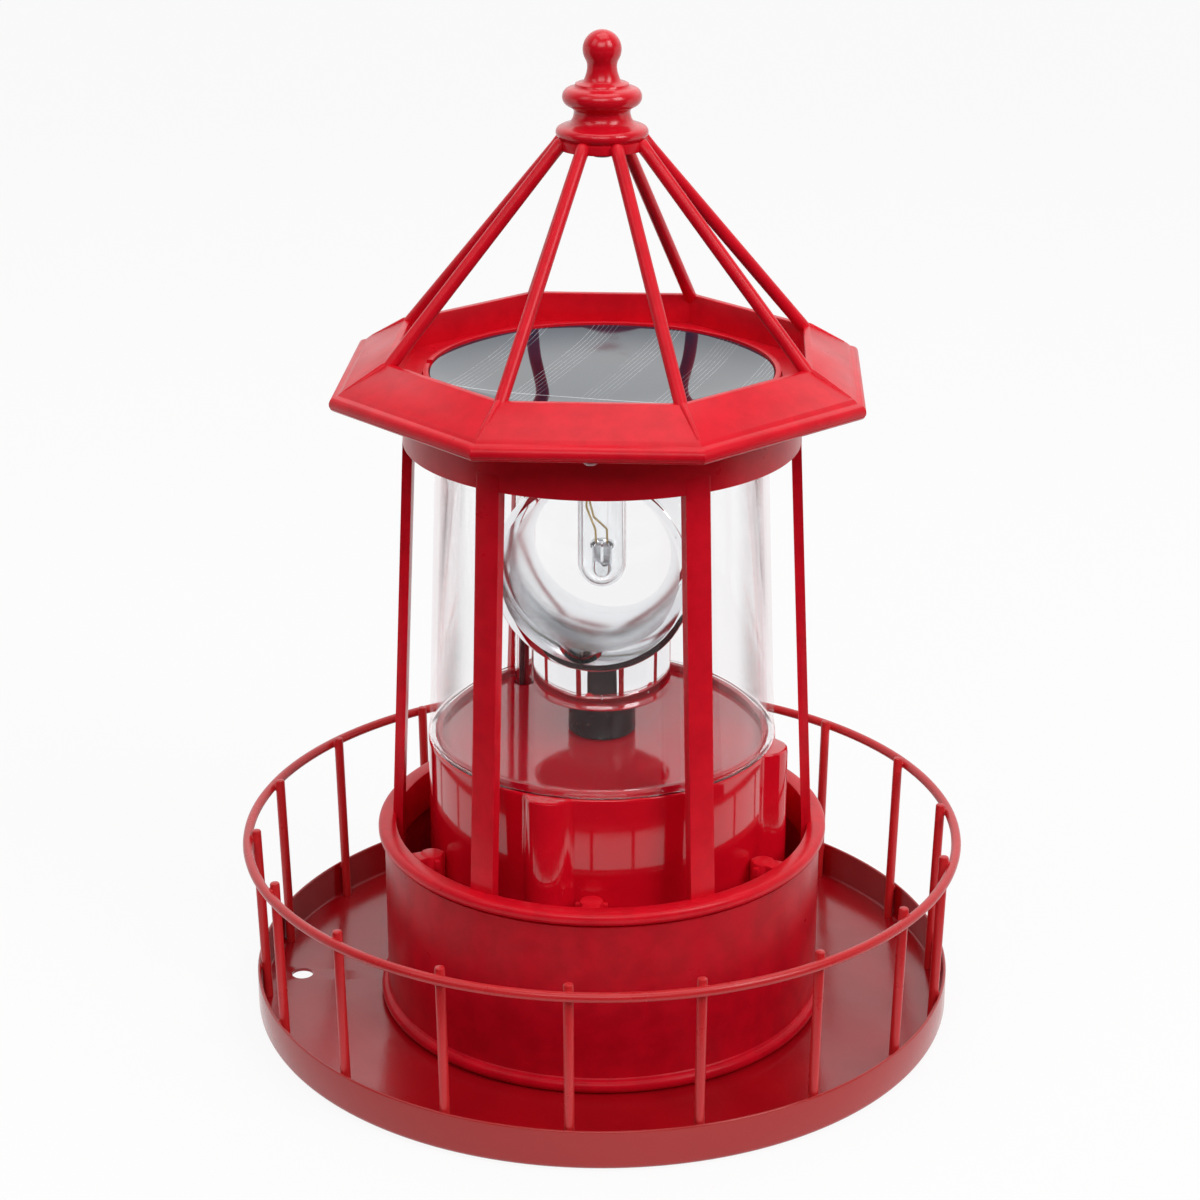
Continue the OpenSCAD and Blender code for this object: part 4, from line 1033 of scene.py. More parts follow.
class RingRule:
    """Copies of one shape, evenly round the axis, each leaning and facing outwards."""

    def __init__(self) -> None:
        """Builds the tree."""
        geo = GeoSketch("ring_of_copies", {
            "Shape": ("Object", None), "Count": ("Int", 6), "Radius": ("Float", 0.05), "Height": ("Float", 0.0),
            "First": ("Float", 0.0), "Lean": ("Float", 0.0), "Sway": ("Float", 0.0), "Material": ("Material", None)})
        count, radius = geo.entry["Count"], geo.entry["Radius"]
        index = geo.node("GeometryNodeInputIndex")[0]
        turn = index * (2 * math.pi / count) + geo.entry["First"]
        place = geo.node("ShaderNodeCombineXYZ", {}, {
            "X": turn.cos() * radius, "Y": turn.sin() * radius, "Z": geo.entry["Height"]})[0]
        points = geo.node("GeometryNodePoints", {}, {"Count": count, "Position": place, "Radius": 0.001})[0]
        wobble = geo.node("FunctionNodeRandomValue", {"data_type": "FLOAT"},
                          {2: -1.0, 3: 1.0, "ID": index, "Seed": 11})[1]
        tilt = geo.entry["Lean"] + wobble * geo.entry["Sway"]
        face = geo.node("ShaderNodeCombineXYZ", {}, {"Y": tilt, "Z": turn})[0]
        geo.close(geo.node("GeometryNodeInstanceOnPoints", {}, {
            "Points": points, "Instance": geo.source("Shape"), "Rotation": face})[0])
        self.geo = geo

    def make(self, name: str, shape: bpy.types.Mesh, count: int, radius: float, height: float, first: float,
             material: bpy.types.Material, lean: float = 0.0, sway: float = 0.0) -> bpy.types.Object:
        """Makes a ring of copies.

        Args:
            name: The piece's name.
            shape: The mesh that is copied, its +X outwards.
            count: How many copies.
            radius: Radius of the ring in millimetres.
            height: Height in millimetres.
            first: Azimuth of the first copy in degrees.
            material: The finish.
            lean: How far each copy leans outwards, in degrees.
            sway: Largest chance difference of the lean, in degrees.

        Returns:
            The piece.
        """
        source = new_object(name + "_shape", shape)
        piece = self.geo.run(name, {
            "Shape": source, "Count": count, "Radius": radius * MM, "Height": height * MM,
            "First": math.radians(first - 90), "Lean": math.radians(lean), "Sway": math.radians(sway),
            "Material": material})
        bpy.data.objects.remove(source)
        return piece


class WireRule:
    """A round wire that follows bent points."""

    def __init__(self) -> None:
        """Builds the tree."""
        geo = GeoSketch("wire_through_points", {
            "Path": ("Object", None), "Radius": ("Float", 0.0003), "Bend": ("Float", 0.001),
            "Material": ("Material", None)})
        curve = geo.node("GeometryNodeMeshToCurve", {}, {0: geo.source("Path")})[0]
        rounded = geo.node("GeometryNodeFilletCurve", {"mode": "POLY"}, {
            "Curve": curve, "Count": 5, "Radius": geo.entry["Bend"], "Limit Radius": True})[0]
        ring = geo.node("GeometryNodeCurvePrimitiveCircle", {"mode": "RADIUS"},
                        {"Resolution": 10, "Radius": geo.entry["Radius"]})["Curve"]
        geo.close(geo.node("GeometryNodeCurveToMesh", {}, {
            "Curve": rounded, "Profile Curve": ring, "Fill Caps": True})[0])
        self.geo = geo

    def make(self, name: str, points: list[Point3], radius: float, bend: float,
             material: bpy.types.Material) -> bpy.types.Object:
        """Makes a wire.

        Args:
            name: The piece's name.
            points: Its points in millimetres.
            radius: Its radius in millimetres.
            bend: Radius of its bends in millimetres.
            material: The finish.

        Returns:
            The piece.
        """
        mesh = bpy.data.meshes.new(name + "_path")
        mesh.from_pydata([tuple(c * MM for c in p) for p in points], [(i, i + 1) for i in range(len(points) - 1)], [])
        source = new_object(name + "_path", mesh)
        piece = self.geo.run(name, {
            "Path": source, "Radius": radius * MM, "Bend": bend * MM, "Material": material}, 60.0)
        bpy.data.objects.remove(source)
        return piece


@dataclass
class Shop:
    """What every sub-assembly is built with."""

    finish: Finishes = field(default_factory=Finishes)
    rings: RingRule = field(default_factory=RingRule)
    wires: WireRule = field(default_factory=WireRule)


# ---- Sub-assemblies -------------------------------------------------------------------------------------------


@dataclass
class Part:
    """A sub-assembly, built with what the shop offers."""

    shop: Shop

    @property
    def finish(self) -> Finishes:
        """The light's finishes."""
        return self.shop.finish


@dataclass
class DeckTray(Part):
    """Painted sheet tray with its rail of wire and welded balusters."""

    radius: float = 87.5
    sheet: float = 0.8
    lip: float = 10.2
    bend: float = 1.6
    opening: float = 40.0
    hole: float = 5.5
    hole_circle: float = 77.5
    hole_turn: float = -93.0
    screw_circle: float = 46.6
    screw_turn: float = -3.0
    rods: int = 18
    rod: float = 2.4
    rod_turn: float = -5.0
    rod_foot: float = 85.13
    rod_head: float = 86.25
    rail_z: float = 45.1
    rail_radius: float = 88.5
    stub: float = 2.2

    def build(self) -> None:
        """Makes the tray, the rail, the balusters and their weld beads."""
        self._tray()
        self._rail()
        self._balusters()

    def _tray(self) -> None:
        """The dish, with its fixing holes and countersunk screw holes."""
        inner = self.bend - self.sheet
        knee = (self.radius - self.bend, self.bend)
        crown = (self.radius - self.sheet / 2, self.lip - self.sheet / 2)
        profile = [(self.opening, 0.12), (self.opening + 0.12, 0.0)]
        profile += arc(knee, self.bend, -90, 0, 6)
        profile += arc(crown, self.sheet / 2, 0, 180, 6)
        profile += arc(knee, inner, 0, -90, 4)
        profile += [(self.opening + 0.12, self.sheet), (self.opening, self.sheet - 0.12)]
        tray = new_object("deck_sheet", Solid().lathe(profile, 192).mesh("deck_sheet"), self.finish.deck)
        cutter = Solid()
        for k in range(3):
            cutter.lathe(rect(0, self.hole / 2, -1, 2), 32,
                         place=outward(self.hole_turn + 120 * k, self.hole_circle))
        for k in range(6):
            cutter.lathe([(0, -1), (2.9, -1), (2.9, 0.0), (2.0, 0.9), (2.0, 2), (0, 2)], 32,
                         place=outward(self.screw_turn + 60 * k, self.screw_circle))
        pierced(tray, cutter)
        hand_over(tray, Body.HOUSING, Slot.DECK, "deck_tray")

    def _rail(self) -> None:
        """The wire hoop."""
        ring = arc((self.rail_radius, self.rail_z), self.rod / 2, 0, 360, 14)[:-1]
        deliver("rail_hoop", Solid().lathe(ring, 192), self.finish.rail, Slot.RAIL, "rail_ring", smooth_under=60)

    def _balusters(self) -> None:
        """Rods with a hammered top, and the weld beads at the lip and the hoop."""
        rise = self.rail_z + self.stub - self.sheet
        lean = math.degrees(math.atan2(self.rod_head - self.rod_foot, self.rail_z - self.sheet))
        r = self.rod / 2
        rod = Solid().lathe([(0, 0), (r, 0), (r, rise - 0.5), (r * 0.86, rise - 0.15), (r * 0.6, rise), (0, rise)], 14)
        rods = self.shop.rings.make("baluster_rods", rod.mesh("rod", 40), self.rods, self.rod_foot, self.sheet,
                                    self.rod_turn, self.finish.rail, lean=lean, sway=0.1)
        beads = Solid()
        for height, out, wide in ((self.rail_z, 87.42, 1.0), (self.lip - 1.0, 86.62, 0.8)):
            bead = arc((0.0, 0.0), wide, -90, 90, 6)
            beads.lathe(bead, 10, place=Matrix.Translation(((out - self.rod_foot) * MM, 0.0, height * MM)))
        welds = self.shop.rings.make("weld_beads", beads.mesh("bead", 70), self.rods, self.rod_foot, 0.0,
                                     self.rod_turn, self.finish.rail)
        hand_over(rods, Body.HOUSING, Slot.RAIL, "balusters")
        hand_over(welds, Body.HOUSING, Slot.RAIL)


@dataclass
class BaseDrum(Part):
    """The drum under the lantern, with its foot bead, raised floor and screw posts."""

    radius: float = 54.5
    wall: float = 1.8
    foot: float = 0.8
    top: float = 45.3
    bead_out: float = 1.8
    bead_h: float = 3.4
    floor_low: float = 3.0
    floor_high: float = 5.0
    floor_opening: float = 37.5
    post_circle: float = 46.6
    post: float = 6.0
    turn: float = -3.0
    skirt: float = 38.0

    def build(self) -> None:
        """Makes the drum as one moulding."""
        inner = self.radius - self.wall
        nose = self.bead_h / 2
        out = self.radius + self.bead_out - nose
        profile = [(self.floor_opening, self.floor_low), (inner - 0.2, self.floor_low), (inner, self.floor_low - 0.2),
                   (inner, self.foot)]
        profile += arc((out, self.foot + nose), nose, -90, 90, 10)
        profile += [(self.radius + 0.25, self.foot + self.bead_h), (self.radius, self.foot + self.bead_h + 0.3)]
        profile += [(self.radius, self.top - 0.75), (self.radius - 0.55, self.top - 0.45),
                    (self.radius - 0.55, self.top), (inner, self.top)]
        profile += [(inner, self.floor_high + 0.4), (inner - 0.4, self.floor_high),
                    (self.floor_opening, self.floor_high)]
        drum = Solid().lathe(profile, 192)
        rise = self.skirt - self.foot
        for k in range(6):
            spot = outward(self.turn + 60 * k, self.post_circle, self.foot)
            drum.lathe(rect(1.7, self.post / 2, 0.0, rise), 40, place=spot)
            drum.prism(rect(2.6, 7.0, -0.8, 0.8), 0.0, rise, spot)
        deliver("drum_shell", drum, self.finish.drum, Slot.SHELL, "base_drum")


@dataclass
class LanternCage(Part):
    """Lip ring, six leaning columns, screw bosses and the collar under the roof."""

    turn: float = -3.0
    lip_radius: float = 56.0
    lip_low: float = 45.3
    lip_high: float = 48.5
    skirt_radius: float = 52.6
    skirt_wall: float = 1.2
    skirt_low: float = 38.0
    column_w: float = 6.3
    column_t: float = 2.4
    column_foot: float = 52.3
    collar_out: float = 47.5
    collar_in: float = 45.5
    collar_low: float = 147.0
    roof_z: float = 160.0
    flange_out: float = 51.5
    flange_t: float = 2.2
    boss_circle: float = 46.6
    boss: float = 5.6
    boss_top: float = 47.7

    def build(self) -> None:
        """Makes the lip, columns, bosses and collar."""
        self._lip()
        self._columns()
        self._bosses()
        self._collar()

    def _lip(self) -> None:
        """Lip ring with a rounded bead and the skirt that goes into the drum."""
        inner = self.skirt_radius - self.skirt_wall
        nose = 1.34
        profile = [(inner + 0.2, self.skirt_low), (self.skirt_radius - 0.2, self.skirt_low),
                   (self.skirt_radius, self.skirt_low + 0.2), (self.skirt_radius, self.lip_low)]
        profile += arc((self.lip_radius - nose, self.lip_low + nose), nose, -90, 0, 6)
        profile += arc((self.lip_radius - nose, self.lip_high - nose), nose, 0, 90, 6)
        profile += [(inner + 0.6, self.lip_high), (inner + 0.18, self.lip_high - 0.18), (inner, self.lip_high - 0.6),
                    (inner, self.skirt_low + 0.2)]
        deliver("cage_lip", Solid().lathe(profile, 192), self.finish.shell, Slot.SHELL, "lantern_cage")

    def _columns(self) -> None:
        """Flat columns with soft edges, leaning in from the lip to the collar."""
        foot_in = self.column_foot - self.column_t
        head_in = self.collar_out - self.column_t
        side = [(foot_in, self.skirt_low + 1), (self.column_foot, self.skirt_low + 1),
                (self.column_foot, self.lip_high), (self.collar_out, self.collar_low),
                (self.collar_out, self.collar_low + 4),
                (head_in, self.collar_low + 4), (head_in, self.collar_low), (foot_in, self.lip_high)]
        stand = Matrix.Rotation(math.radians(90), 4, "X")
        column = Solid().prism(side, -self.column_w / 2, self.column_w / 2, stand, edge=0.35)
        piece = self.shop.rings.make("cage_columns", column.mesh("column"), 6, 0.0, 0.0, self.turn + 30,
                                     self.finish.shell)
        hand_over(piece, Body.HOUSING, Slot.SHELL)

    def _bosses(self) -> None:
        """Screw bosses inside the lip, each with a rib to the skirt and a stub inwards."""
        low = self.skirt_low - self.boss_top
        r = self.boss / 2
        boss = Solid().lathe([(0, low), (r, low), (r, -0.35), (r - 0.12, -0.1), (r - 0.4, 0.0), (0, 0.0)], 32)
        boss.prism([(0.4, -1.9), (5.4, -2.5), (5.4, 2.5), (0.4, 1.9)], -3.0, -0.12, edge=0.25)
        boss.prism(rect(r - 0.4, 5.6, -0.8, 0.8), low, -2.5)
        for side in (-1, 1):
            ear = side * 3.1
            boss.prism(rect(-0.6, 0.6, ear - 0.7, ear + 0.7), -3.0, -0.7, edge=0.15)
        boss.prism(rect(-r - 0.4, -r + 0.5, -0.6, 0.6), low, -0.4, edge=0.15)
        piece = self.shop.rings.make("cage_bosses", boss.mesh("boss"), 6, self.boss_circle, self.boss_top, self.turn,
                                     self.finish.shell)
        hand_over(piece, Body.HOUSING, Slot.SHELL)

    def _collar(self) -> None:
        """Round collar with its flange under the roof."""
        outline = [(self.collar_in, self.collar_low), (self.collar_out, self.collar_low),
                   (self.collar_out, self.roof_z - self.flange_t), (self.flange_out, self.roof_z - self.flange_t),
                   (self.flange_out, self.roof_z), (self.collar_in, self.roof_z)]
        deliver("cage_collar", Solid().lathe(softened(outline, 0.35), 192), self.finish.shell, Slot.SHELL)


@dataclass
class RoofFrame(Part):
    """Octagonal eave, eight ribs, the crown and the finial."""

    turn: float = -3.0
    base: float = 160.0
    hole: float = 42.7
    floor: float = 163.0
    panel_head: tuple[float, float] = (53.4, 170.2)
    panel_foot: tuple[float, float] = (63.3, 164.7)
    rib: float = 3.1
    rib_foot: tuple[float, float] = (51.9, 169.6)
    rib_head: tuple[float, float] = (10.0, 218.4)
    crown_r: float = 10.2
    crown_low: float = 216.8
    crown_high: float = 219.1

    def build(self) -> None:
        """Makes the eave, ribs, crown and finial."""
        self._eave()
        self._ribs()
        self._finial()

    def _eave(self) -> None:
        """Eight-sided rim: a grooved round nose, sloping panels, inner wall and floor."""
        head, foot = self.panel_head, self.panel_foot
        wall_in = head[0] - 2.0
        outline: list[Point2] = [(wall_in, self.base), (wall_in + 1.0, head[1] - 2.8), (foot[0] - 1.6, foot[1] - 2.0),
                                 (foot[0] - 1.2, self.base)]
        nose = (64.65, self.base + 1.85)
        outline += arc(nose, 1.85, -90, -31, 5) + arc(nose, 1.66, -27, -26, 1) + arc(nose, 1.85, -22, 84, 10)
        outline += [(64.3, self.base + 3.86), (63.75, self.base + 4.35), (foot[0], foot[1])]
        outline += [(head[0] + 0.12, head[1] - 0.16), (head[0] - 0.1, head[1])]
        outline += [(wall_in + 0.4, head[1]), (wall_in + 0.2, head[1] - 0.2), (wall_in - 0.5, self.floor)]
        rim = Solid().lathe(outline, 8, self.turn + 22.5 - 90)
        piece = new_object("roof_eave", rim.mesh("roof_eave", 20), self.finish.shell)
        bevel = piece.modifiers.new("soft", "BEVEL")
        bevel.width = 0.28 * MM
        bevel.segments = 2
        bevel.limit_method = "ANGLE"
        bevel.angle_limit = math.radians(28)
        settle_modifiers(piece, 24)
        hand_over(piece, Body.HOUSING, Slot.SHELL, "roof_frame")
        self._floor(wall_in * math.cos(math.pi / 8))

    def _floor(self, inner: float) -> None:
        """Flat floor between the round panel hole and the eight walls.

        Args:
            inner: Distance from the axis to the middle of a wall.
        """
        sector, steps = math.pi / 4, 96
        start = math.radians(self.turn + 22.5 - 90)
        turns = [2 * math.pi * s / steps for s in range(steps)]
        walls = [(inner + 1.0) / math.cos((a - start) % sector - sector / 2) for a in turns]
        loops = [[Vector((r * math.cos(a), r * math.sin(a), height)) for r, a in zip(radii, turns)]
                 for radii, height in (([self.hole] * steps, self.base), (walls, self.base), (walls, self.floor),
                                       ([self.hole] * steps, self.floor))]
        floor = Solid().loft([[point * MM for point in loop] for loop in loops], closed=True)
        deliver("roof_floor", floor, self.finish.shell, Slot.SHELL)

    def _ribs(self) -> None:
        """Round ribs up to the crown, ridges along the eave's mitres, and the crown itself."""
        run = self.rib_head[0] - self.rib_foot[0]
        rise = self.rib_head[1] - self.rib_foot[1]
        length = math.hypot(run, rise)
        r = self.rib / 2
        rib = Solid().lathe([(0, -1.2), (r * 0.96, -1.2), (r, 1.0), (r * 0.98, length - 3),
                             (r * 1.05, length), (r * 0.8, length + 0.7), (0, length + 0.7)], 20)
        ribs = self.shop.rings.make("roof_ribs", rib.mesh("rib", 50), 8, self.rib_foot[0], self.rib_foot[1],
                                    self.turn + 22.5, self.finish.shell, lean=math.degrees(math.atan2(run, rise)))
        hand_over(ribs, Body.HOUSING, Slot.SHELL)
        head, foot = self.panel_head, self.panel_foot
        fall = math.hypot(foot[0] - head[0], foot[1] - head[1])
        ridge = Solid().lathe([(0, -1.0), (0.7, -1.0), (0.9, 0.2), (0.6, fall - 0.9), (0.25, fall - 0.1),
                               (0, fall - 0.1)], 14)
        lean = math.degrees(math.atan2(foot[0] - head[0], foot[1] - head[1]))
        ridges = self.shop.rings.make("mitre_ridges", ridge.mesh("ridge", 60), 8, head[0] - 0.15, head[1] - 0.5,
                                      self.turn + 22.5, self.finish.shell, lean=lean)
        hand_over(ridges, Body.HOUSING, Slot.SHELL)
        crown = softened(rect(1.7, self.crown_r, self.crown_low, self.crown_high), 0.35)
        deliver("roof_crown", Solid().lathe(crown, 96), self.finish.shell, Slot.SHELL)

    def _finial(self) -> None:
        """Turned finial: bead, neck, disc, step, waist and ball."""
        base = self.crown_high
        profile: list[Point2] = [(0, base - 1.2), (3.9, base - 1.2), (3.9, base), (9.9, base)]
        profile += arc((9.3, base + 1.5), 1.42, -62, 70, 8)
        profile += [(9.3, base + 3.05), (8.2, base + 3.35), (7.25, base + 3.9), (6.75, base + 4.8), (6.5, base + 5.9),
                    (6.55, base + 6.5), (6.9, base + 7.0)]
        profile += arc((7.0, base + 9.55), 2.2, -62, 66, 10)
        profile += [(7.2, base + 11.75), (6.5, base + 11.95), (6.3, base + 12.2), (6.15, base + 12.6),
                    (5.6, base + 12.85), (4.6, base + 13.0), (4.15, base + 13.5), (3.85, base + 14.3),
                    (3.55, base + 15.3), (3.42, base + 16.2), (3.45, base + 17.0), (3.7, base + 17.8)]
        profile += arc((0, base + 20.33), 4.47, -30, 90, 14)
        deliver("roof_finial", Solid().lathe(profile, 64),
                self.finish.turned, Slot.SHELL, "finial", smooth_under=42)


@dataclass
class SolarPanel(Part):
    """Housing cap on the lens tube, and the round cell in its rim."""

    outer: float = 42.4
    pocket: float = 41.0
    skirt_low: float = 148.8
    skirt_in: float = 40.05
    floor: float = 150.8
    rim_top: float = 164.5
    ledge: float = 161.5
    cell_top: float = 163.9
    flat: float = 15.0
    meniscus: float = 1.7
    notch_turn: float = -97.0

    def build(self) -> None:
        """Makes the housing and the cell."""
        outline = [(self.skirt_in, self.skirt_low), (self.outer, self.skirt_low), (self.outer, self.rim_top),
                   (self.pocket, self.rim_top), (self.pocket, self.ledge), (self.pocket - 2, self.ledge),
                   (self.pocket - 2, self.floor + 2), (2.6, self.floor + 2), (2.6, self.floor),
                   (self.skirt_in, self.floor)]
        cap = new_object("panel_cap", Solid().lathe(softened(outline, 0.25), 160).mesh("panel_cap"),
                         self.finish.shell)
        notch = Solid().prism(rect(-4, 4, -1.6, 1.6), 163.2, 168,
                              outward(self.notch_turn, self.outer))
        notch.lathe(rect(0, 2.8, 149, 155), 24, place=outward(-144.5, 35.0))
        pierced(cap, notch)
        hand_over(cap, Body.HOUSING, Slot.SHELL, "panel_housing")
        r = self.pocket - 0.2
        disc: list[Point2] = [(0, self.ledge), (r, self.ledge), (r, self.cell_top - 0.1), (r - 0.12, self.cell_top)]
        span = r - 0.3 - self.flat
        for step in range(25):
            t = 1.0 - step / 24
            disc.append((self.flat + span * t, self.cell_top - self.meniscus * (1 - t ** 3)))
        disc.append((0, self.cell_top - self.meniscus))
        deliver("cell_disc", Solid().lathe(disc, 192), self.finish.cell, Slot.CELL, "solar_cell")


@dataclass
class LensTube(Part):
    """Clear drafted tube with its foot bead."""

    low: float = 71.8
    high: float = 150.0
    foot: float = 42.7
    head: float = 39.7
    wall: float = 1.6

    def build(self) -> None:
        """Makes the tube."""
        slope = (self.foot - self.head) / (self.high - self.low)
        outline = [(self.foot - self.wall, self.low + 0.01), (self.foot + 0.2, self.low + 0.01),
                   (self.foot + 0.2, self.low + 1.0), (self.foot - 1.4 * slope, self.low + 1.4),
                   (self.head, self.high), (self.head - self.wall, self.high)]
        deliver("lens_wall", Solid().lathe(softened(outline, 0.25), 192),
                self.finish.lens, Slot.LENS, "lens_tube")


@dataclass
class BeaconBase(Part):
    """Glossy housing inside the lantern, its bosses run smoothly into the wall."""

    radius: float = 43.0
    low: float = 5.0
    high: float = 71.8
    boss_centre: float = 41.0
    boss: float = 6.0
    boss_turns: tuple[float, ...] = (-17.5, 74.0, 204.0)
    blend: float = 1.6
    edge: float = 0.55
    centring: tuple[float, float, float] = (39.3, 40.9, 73.3)

    def build(self) -> None:
        """Makes the hollow housing with its centring rim."""
        wall = self._outline(0.0, 0.0)
        layers: list[tuple[list[Point2], float]] = [(wall, self.low), (wall, self.high - 2 * self.edge)]
        for step in range(1, 5):
            a = math.radians(90 * step / 4)
            inset = self.edge * (1 - math.cos(a))
            layers.append((self._outline(inset, step / 4 * 0.35), self.high - self.edge * (1 - math.sin(a))))
        shell = Solid().loft([[Vector((x * MM, y * MM, z * MM)) for x, y in ring] for ring, z in layers])
        inside, outside, top = self.centring
        shell.lathe(softened(rect(inside, outside, self.high - 0.5, top),
                             0.25), 160)
        piece = new_object("beacon_shell", shell.mesh("beacon_shell"), self.finish.gloss)
        hollow = Solid().lathe(rect(0, self.radius - 2, self.low - 2, self.high - 2.4), 128)
        hollow.lathe(rect(0, 3.65, self.high - 4, self.high + 2), 40)
        hollow.lathe(rect(0, 2.85, self.high - 4, self.high + 2), 32,
                     place=outward(-144.5, 35.0))
        pierced(piece, hollow)
        hand_over(piece, Body.HOUSING, Slot.GLOSS, "beacon_base")

    def _outline(self, inset: float, boss_drop: float) -> list[Point2]:
        """The wall and its bosses in plan, joined by soft fillets.

        Args:
            inset: How far the outline is drawn in.
            boss_drop: How much further the bosses are drawn in.

        Returns:
            Points of the outline.
        """
        steps = 480
        points = []
        for s in range(steps):
            a = 2 * math.pi * s / steps
            reach = self.radius - inset
            for turn in self.boss_turns:
                off = a - math.radians(turn - 90)
                off = (off + math.pi) % (2 * math.pi) - math.pi
                across = self.boss_centre * math.sin(off)
                r = self.boss - inset - boss_drop
                if abs(off) < 0.5 and abs(across) < r:
                    bump = self.boss_centre * math.cos(off) + math.sqrt(r * r - across * across)
                else:
                    bump = self.boss_centre * math.cos(off) if abs(off) < 0.5 else 0.0
                gap = max(self.blend - abs(reach - bump), 0.0) / self.blend
                reach = max(reach, bump) + gap * gap * self.blend * 0.25
            points.append((reach * math.cos(a), reach * math.sin(a)))
        return points


@dataclass
class Reflector(Part):
    """Metallised double horn on its bell, with the black hub under it."""

    centre: float = 117.5
    turn: float = -8.0
    half: float = 17.5
    waist: float = 17.2
    lip_in: float = 22.35
    lip_out: float = 24.05
    lip_t: float = 1.6
    wall: float = 1.4
    bell: float = 17.0
    bell_low: float = 83.1
    hub: float = 8.3
    hub_low: float = 72.2

    def _bore(self, y: float) -> float:
        """Radius of the horn's bore at a distance from its middle."""
        return self.waist + (self.lip_in - self.waist) * abs(y / self.half) ** 1.7

    def build(self) -> None:
        """Makes the horn, the bell and the hub."""
        steps = 18
        inner = [(self._bore(self.half * i / steps), self.half * i / steps) for i in range(-steps, steps + 1)]
        back = self.half - self.lip_t
        outer = [(self._bore(back * i / steps) + self.wall, back * i / steps) for i in range(steps, -steps - 1, -1)]
        lip = softened([(self.lip_in, self.half), (self.lip_out, self.half), (self.lip_out, back),
                        (self.lip_out - 1, back)], 0.35)[4:-4]
        low_lip = [(r, -z) for r, z in reversed(lip)]
        profile = inner + lip + outer + low_lip
        lay = outward(self.turn, 0, self.centre) @ Matrix.Rotation(math.radians(90), 4, "Y")
        horn = new_object("horn_shell", Solid().lathe(profile, 128, place=lay).mesh("horn_shell"),
                          self.finish.mirror)
        pierced(horn, Solid().lathe(rect(0, 8, self.centre, 150), 64))
        horn.data.materials.append(self.finish.satin)
        back_to_horn = lay.inverted()
        for face in horn.data.polygons:
            spot = back_to_horn @ face.center
            facing = back_to_horn.to_3x3() @ face.normal
            if abs(spot.z) < (self.half - 4.2) * MM and facing.x * spot.x + facing.y * spot.y < 0:
                face.material_index = 1
        hand_over(horn, Body.SPINNER, Slot.CHROME, "reflector")
        self._bell(lay)
        self._hub()

    def _bell(self, lay: Matrix) -> None:
        """Round bell below the horn, trimmed to the horn's wall.

        Args:
            lay: How the horn's axis lies.
        """
        top = self.centre - 5
        inner = self.bell - self.wall
        outline = [(inner, self.bell_low + 0.3), (inner + 0.3, self.bell_low), (self.bell - 0.75, self.bell_low),
                   (self.bell - 0.32, self.bell_low + 0.12), (self.bell - 0.08, self.bell_low + 0.42),
                   (self.bell, self.bell_low + 0.9), (self.bell, top), (inner, top)]
        bell = Solid().lathe(outline, 128)
        seat = self.bell_low + 0.5
        bell.lathe(softened([(5.03, seat), (7.03, seat), (7.03, seat + 8), (0, seat + 8), (0, seat + 4.2),
                             (5.03, seat + 4.2)], 0.25, keep=frozenset((3, 4))), 48)
        for spin in (45, 135):
            bell.prism(rect(-16.2, 16.2, -0.6, 0.6), seat + 2, self.centre - 7.8,
                       Matrix.Rotation(math.radians(spin + self.turn), 4, "Z"))
        piece = new_object("bell_shell", bell.mesh("bell_shell"), self.finish.mirror)
        steps = 16
        reach = self.half + 1
        core = [(0.0, -reach)]
        core += [(self._bore(reach * i / steps) + self.wall / 2, reach * i / steps) for i in range(-steps, steps + 1)]
        core += [(0.0, reach)]
        pierced(piece, Solid().lathe(core, 128, place=lay))
        hand_over(piece, Body.SPINNER, Slot.CHROME)

    def _hub(self) -> None:
        """Black hub with a turned groove and a spigot in the bell's socket."""
        seat = self.bell_low + 0.5
        outline = [(1.55, self.hub_low), (self.hub, self.hub_low), (self.hub, seat - 0.05), (4.95, seat - 0.05),
                   (4.95, seat + 3.9), (1.55, seat + 3.9)]
        deliver("hub_body", Solid().lathe(softened(outline, 0.4), 96),
                self.finish.black, Slot.HUB, "drive_hub", body=Body.SPINNER)


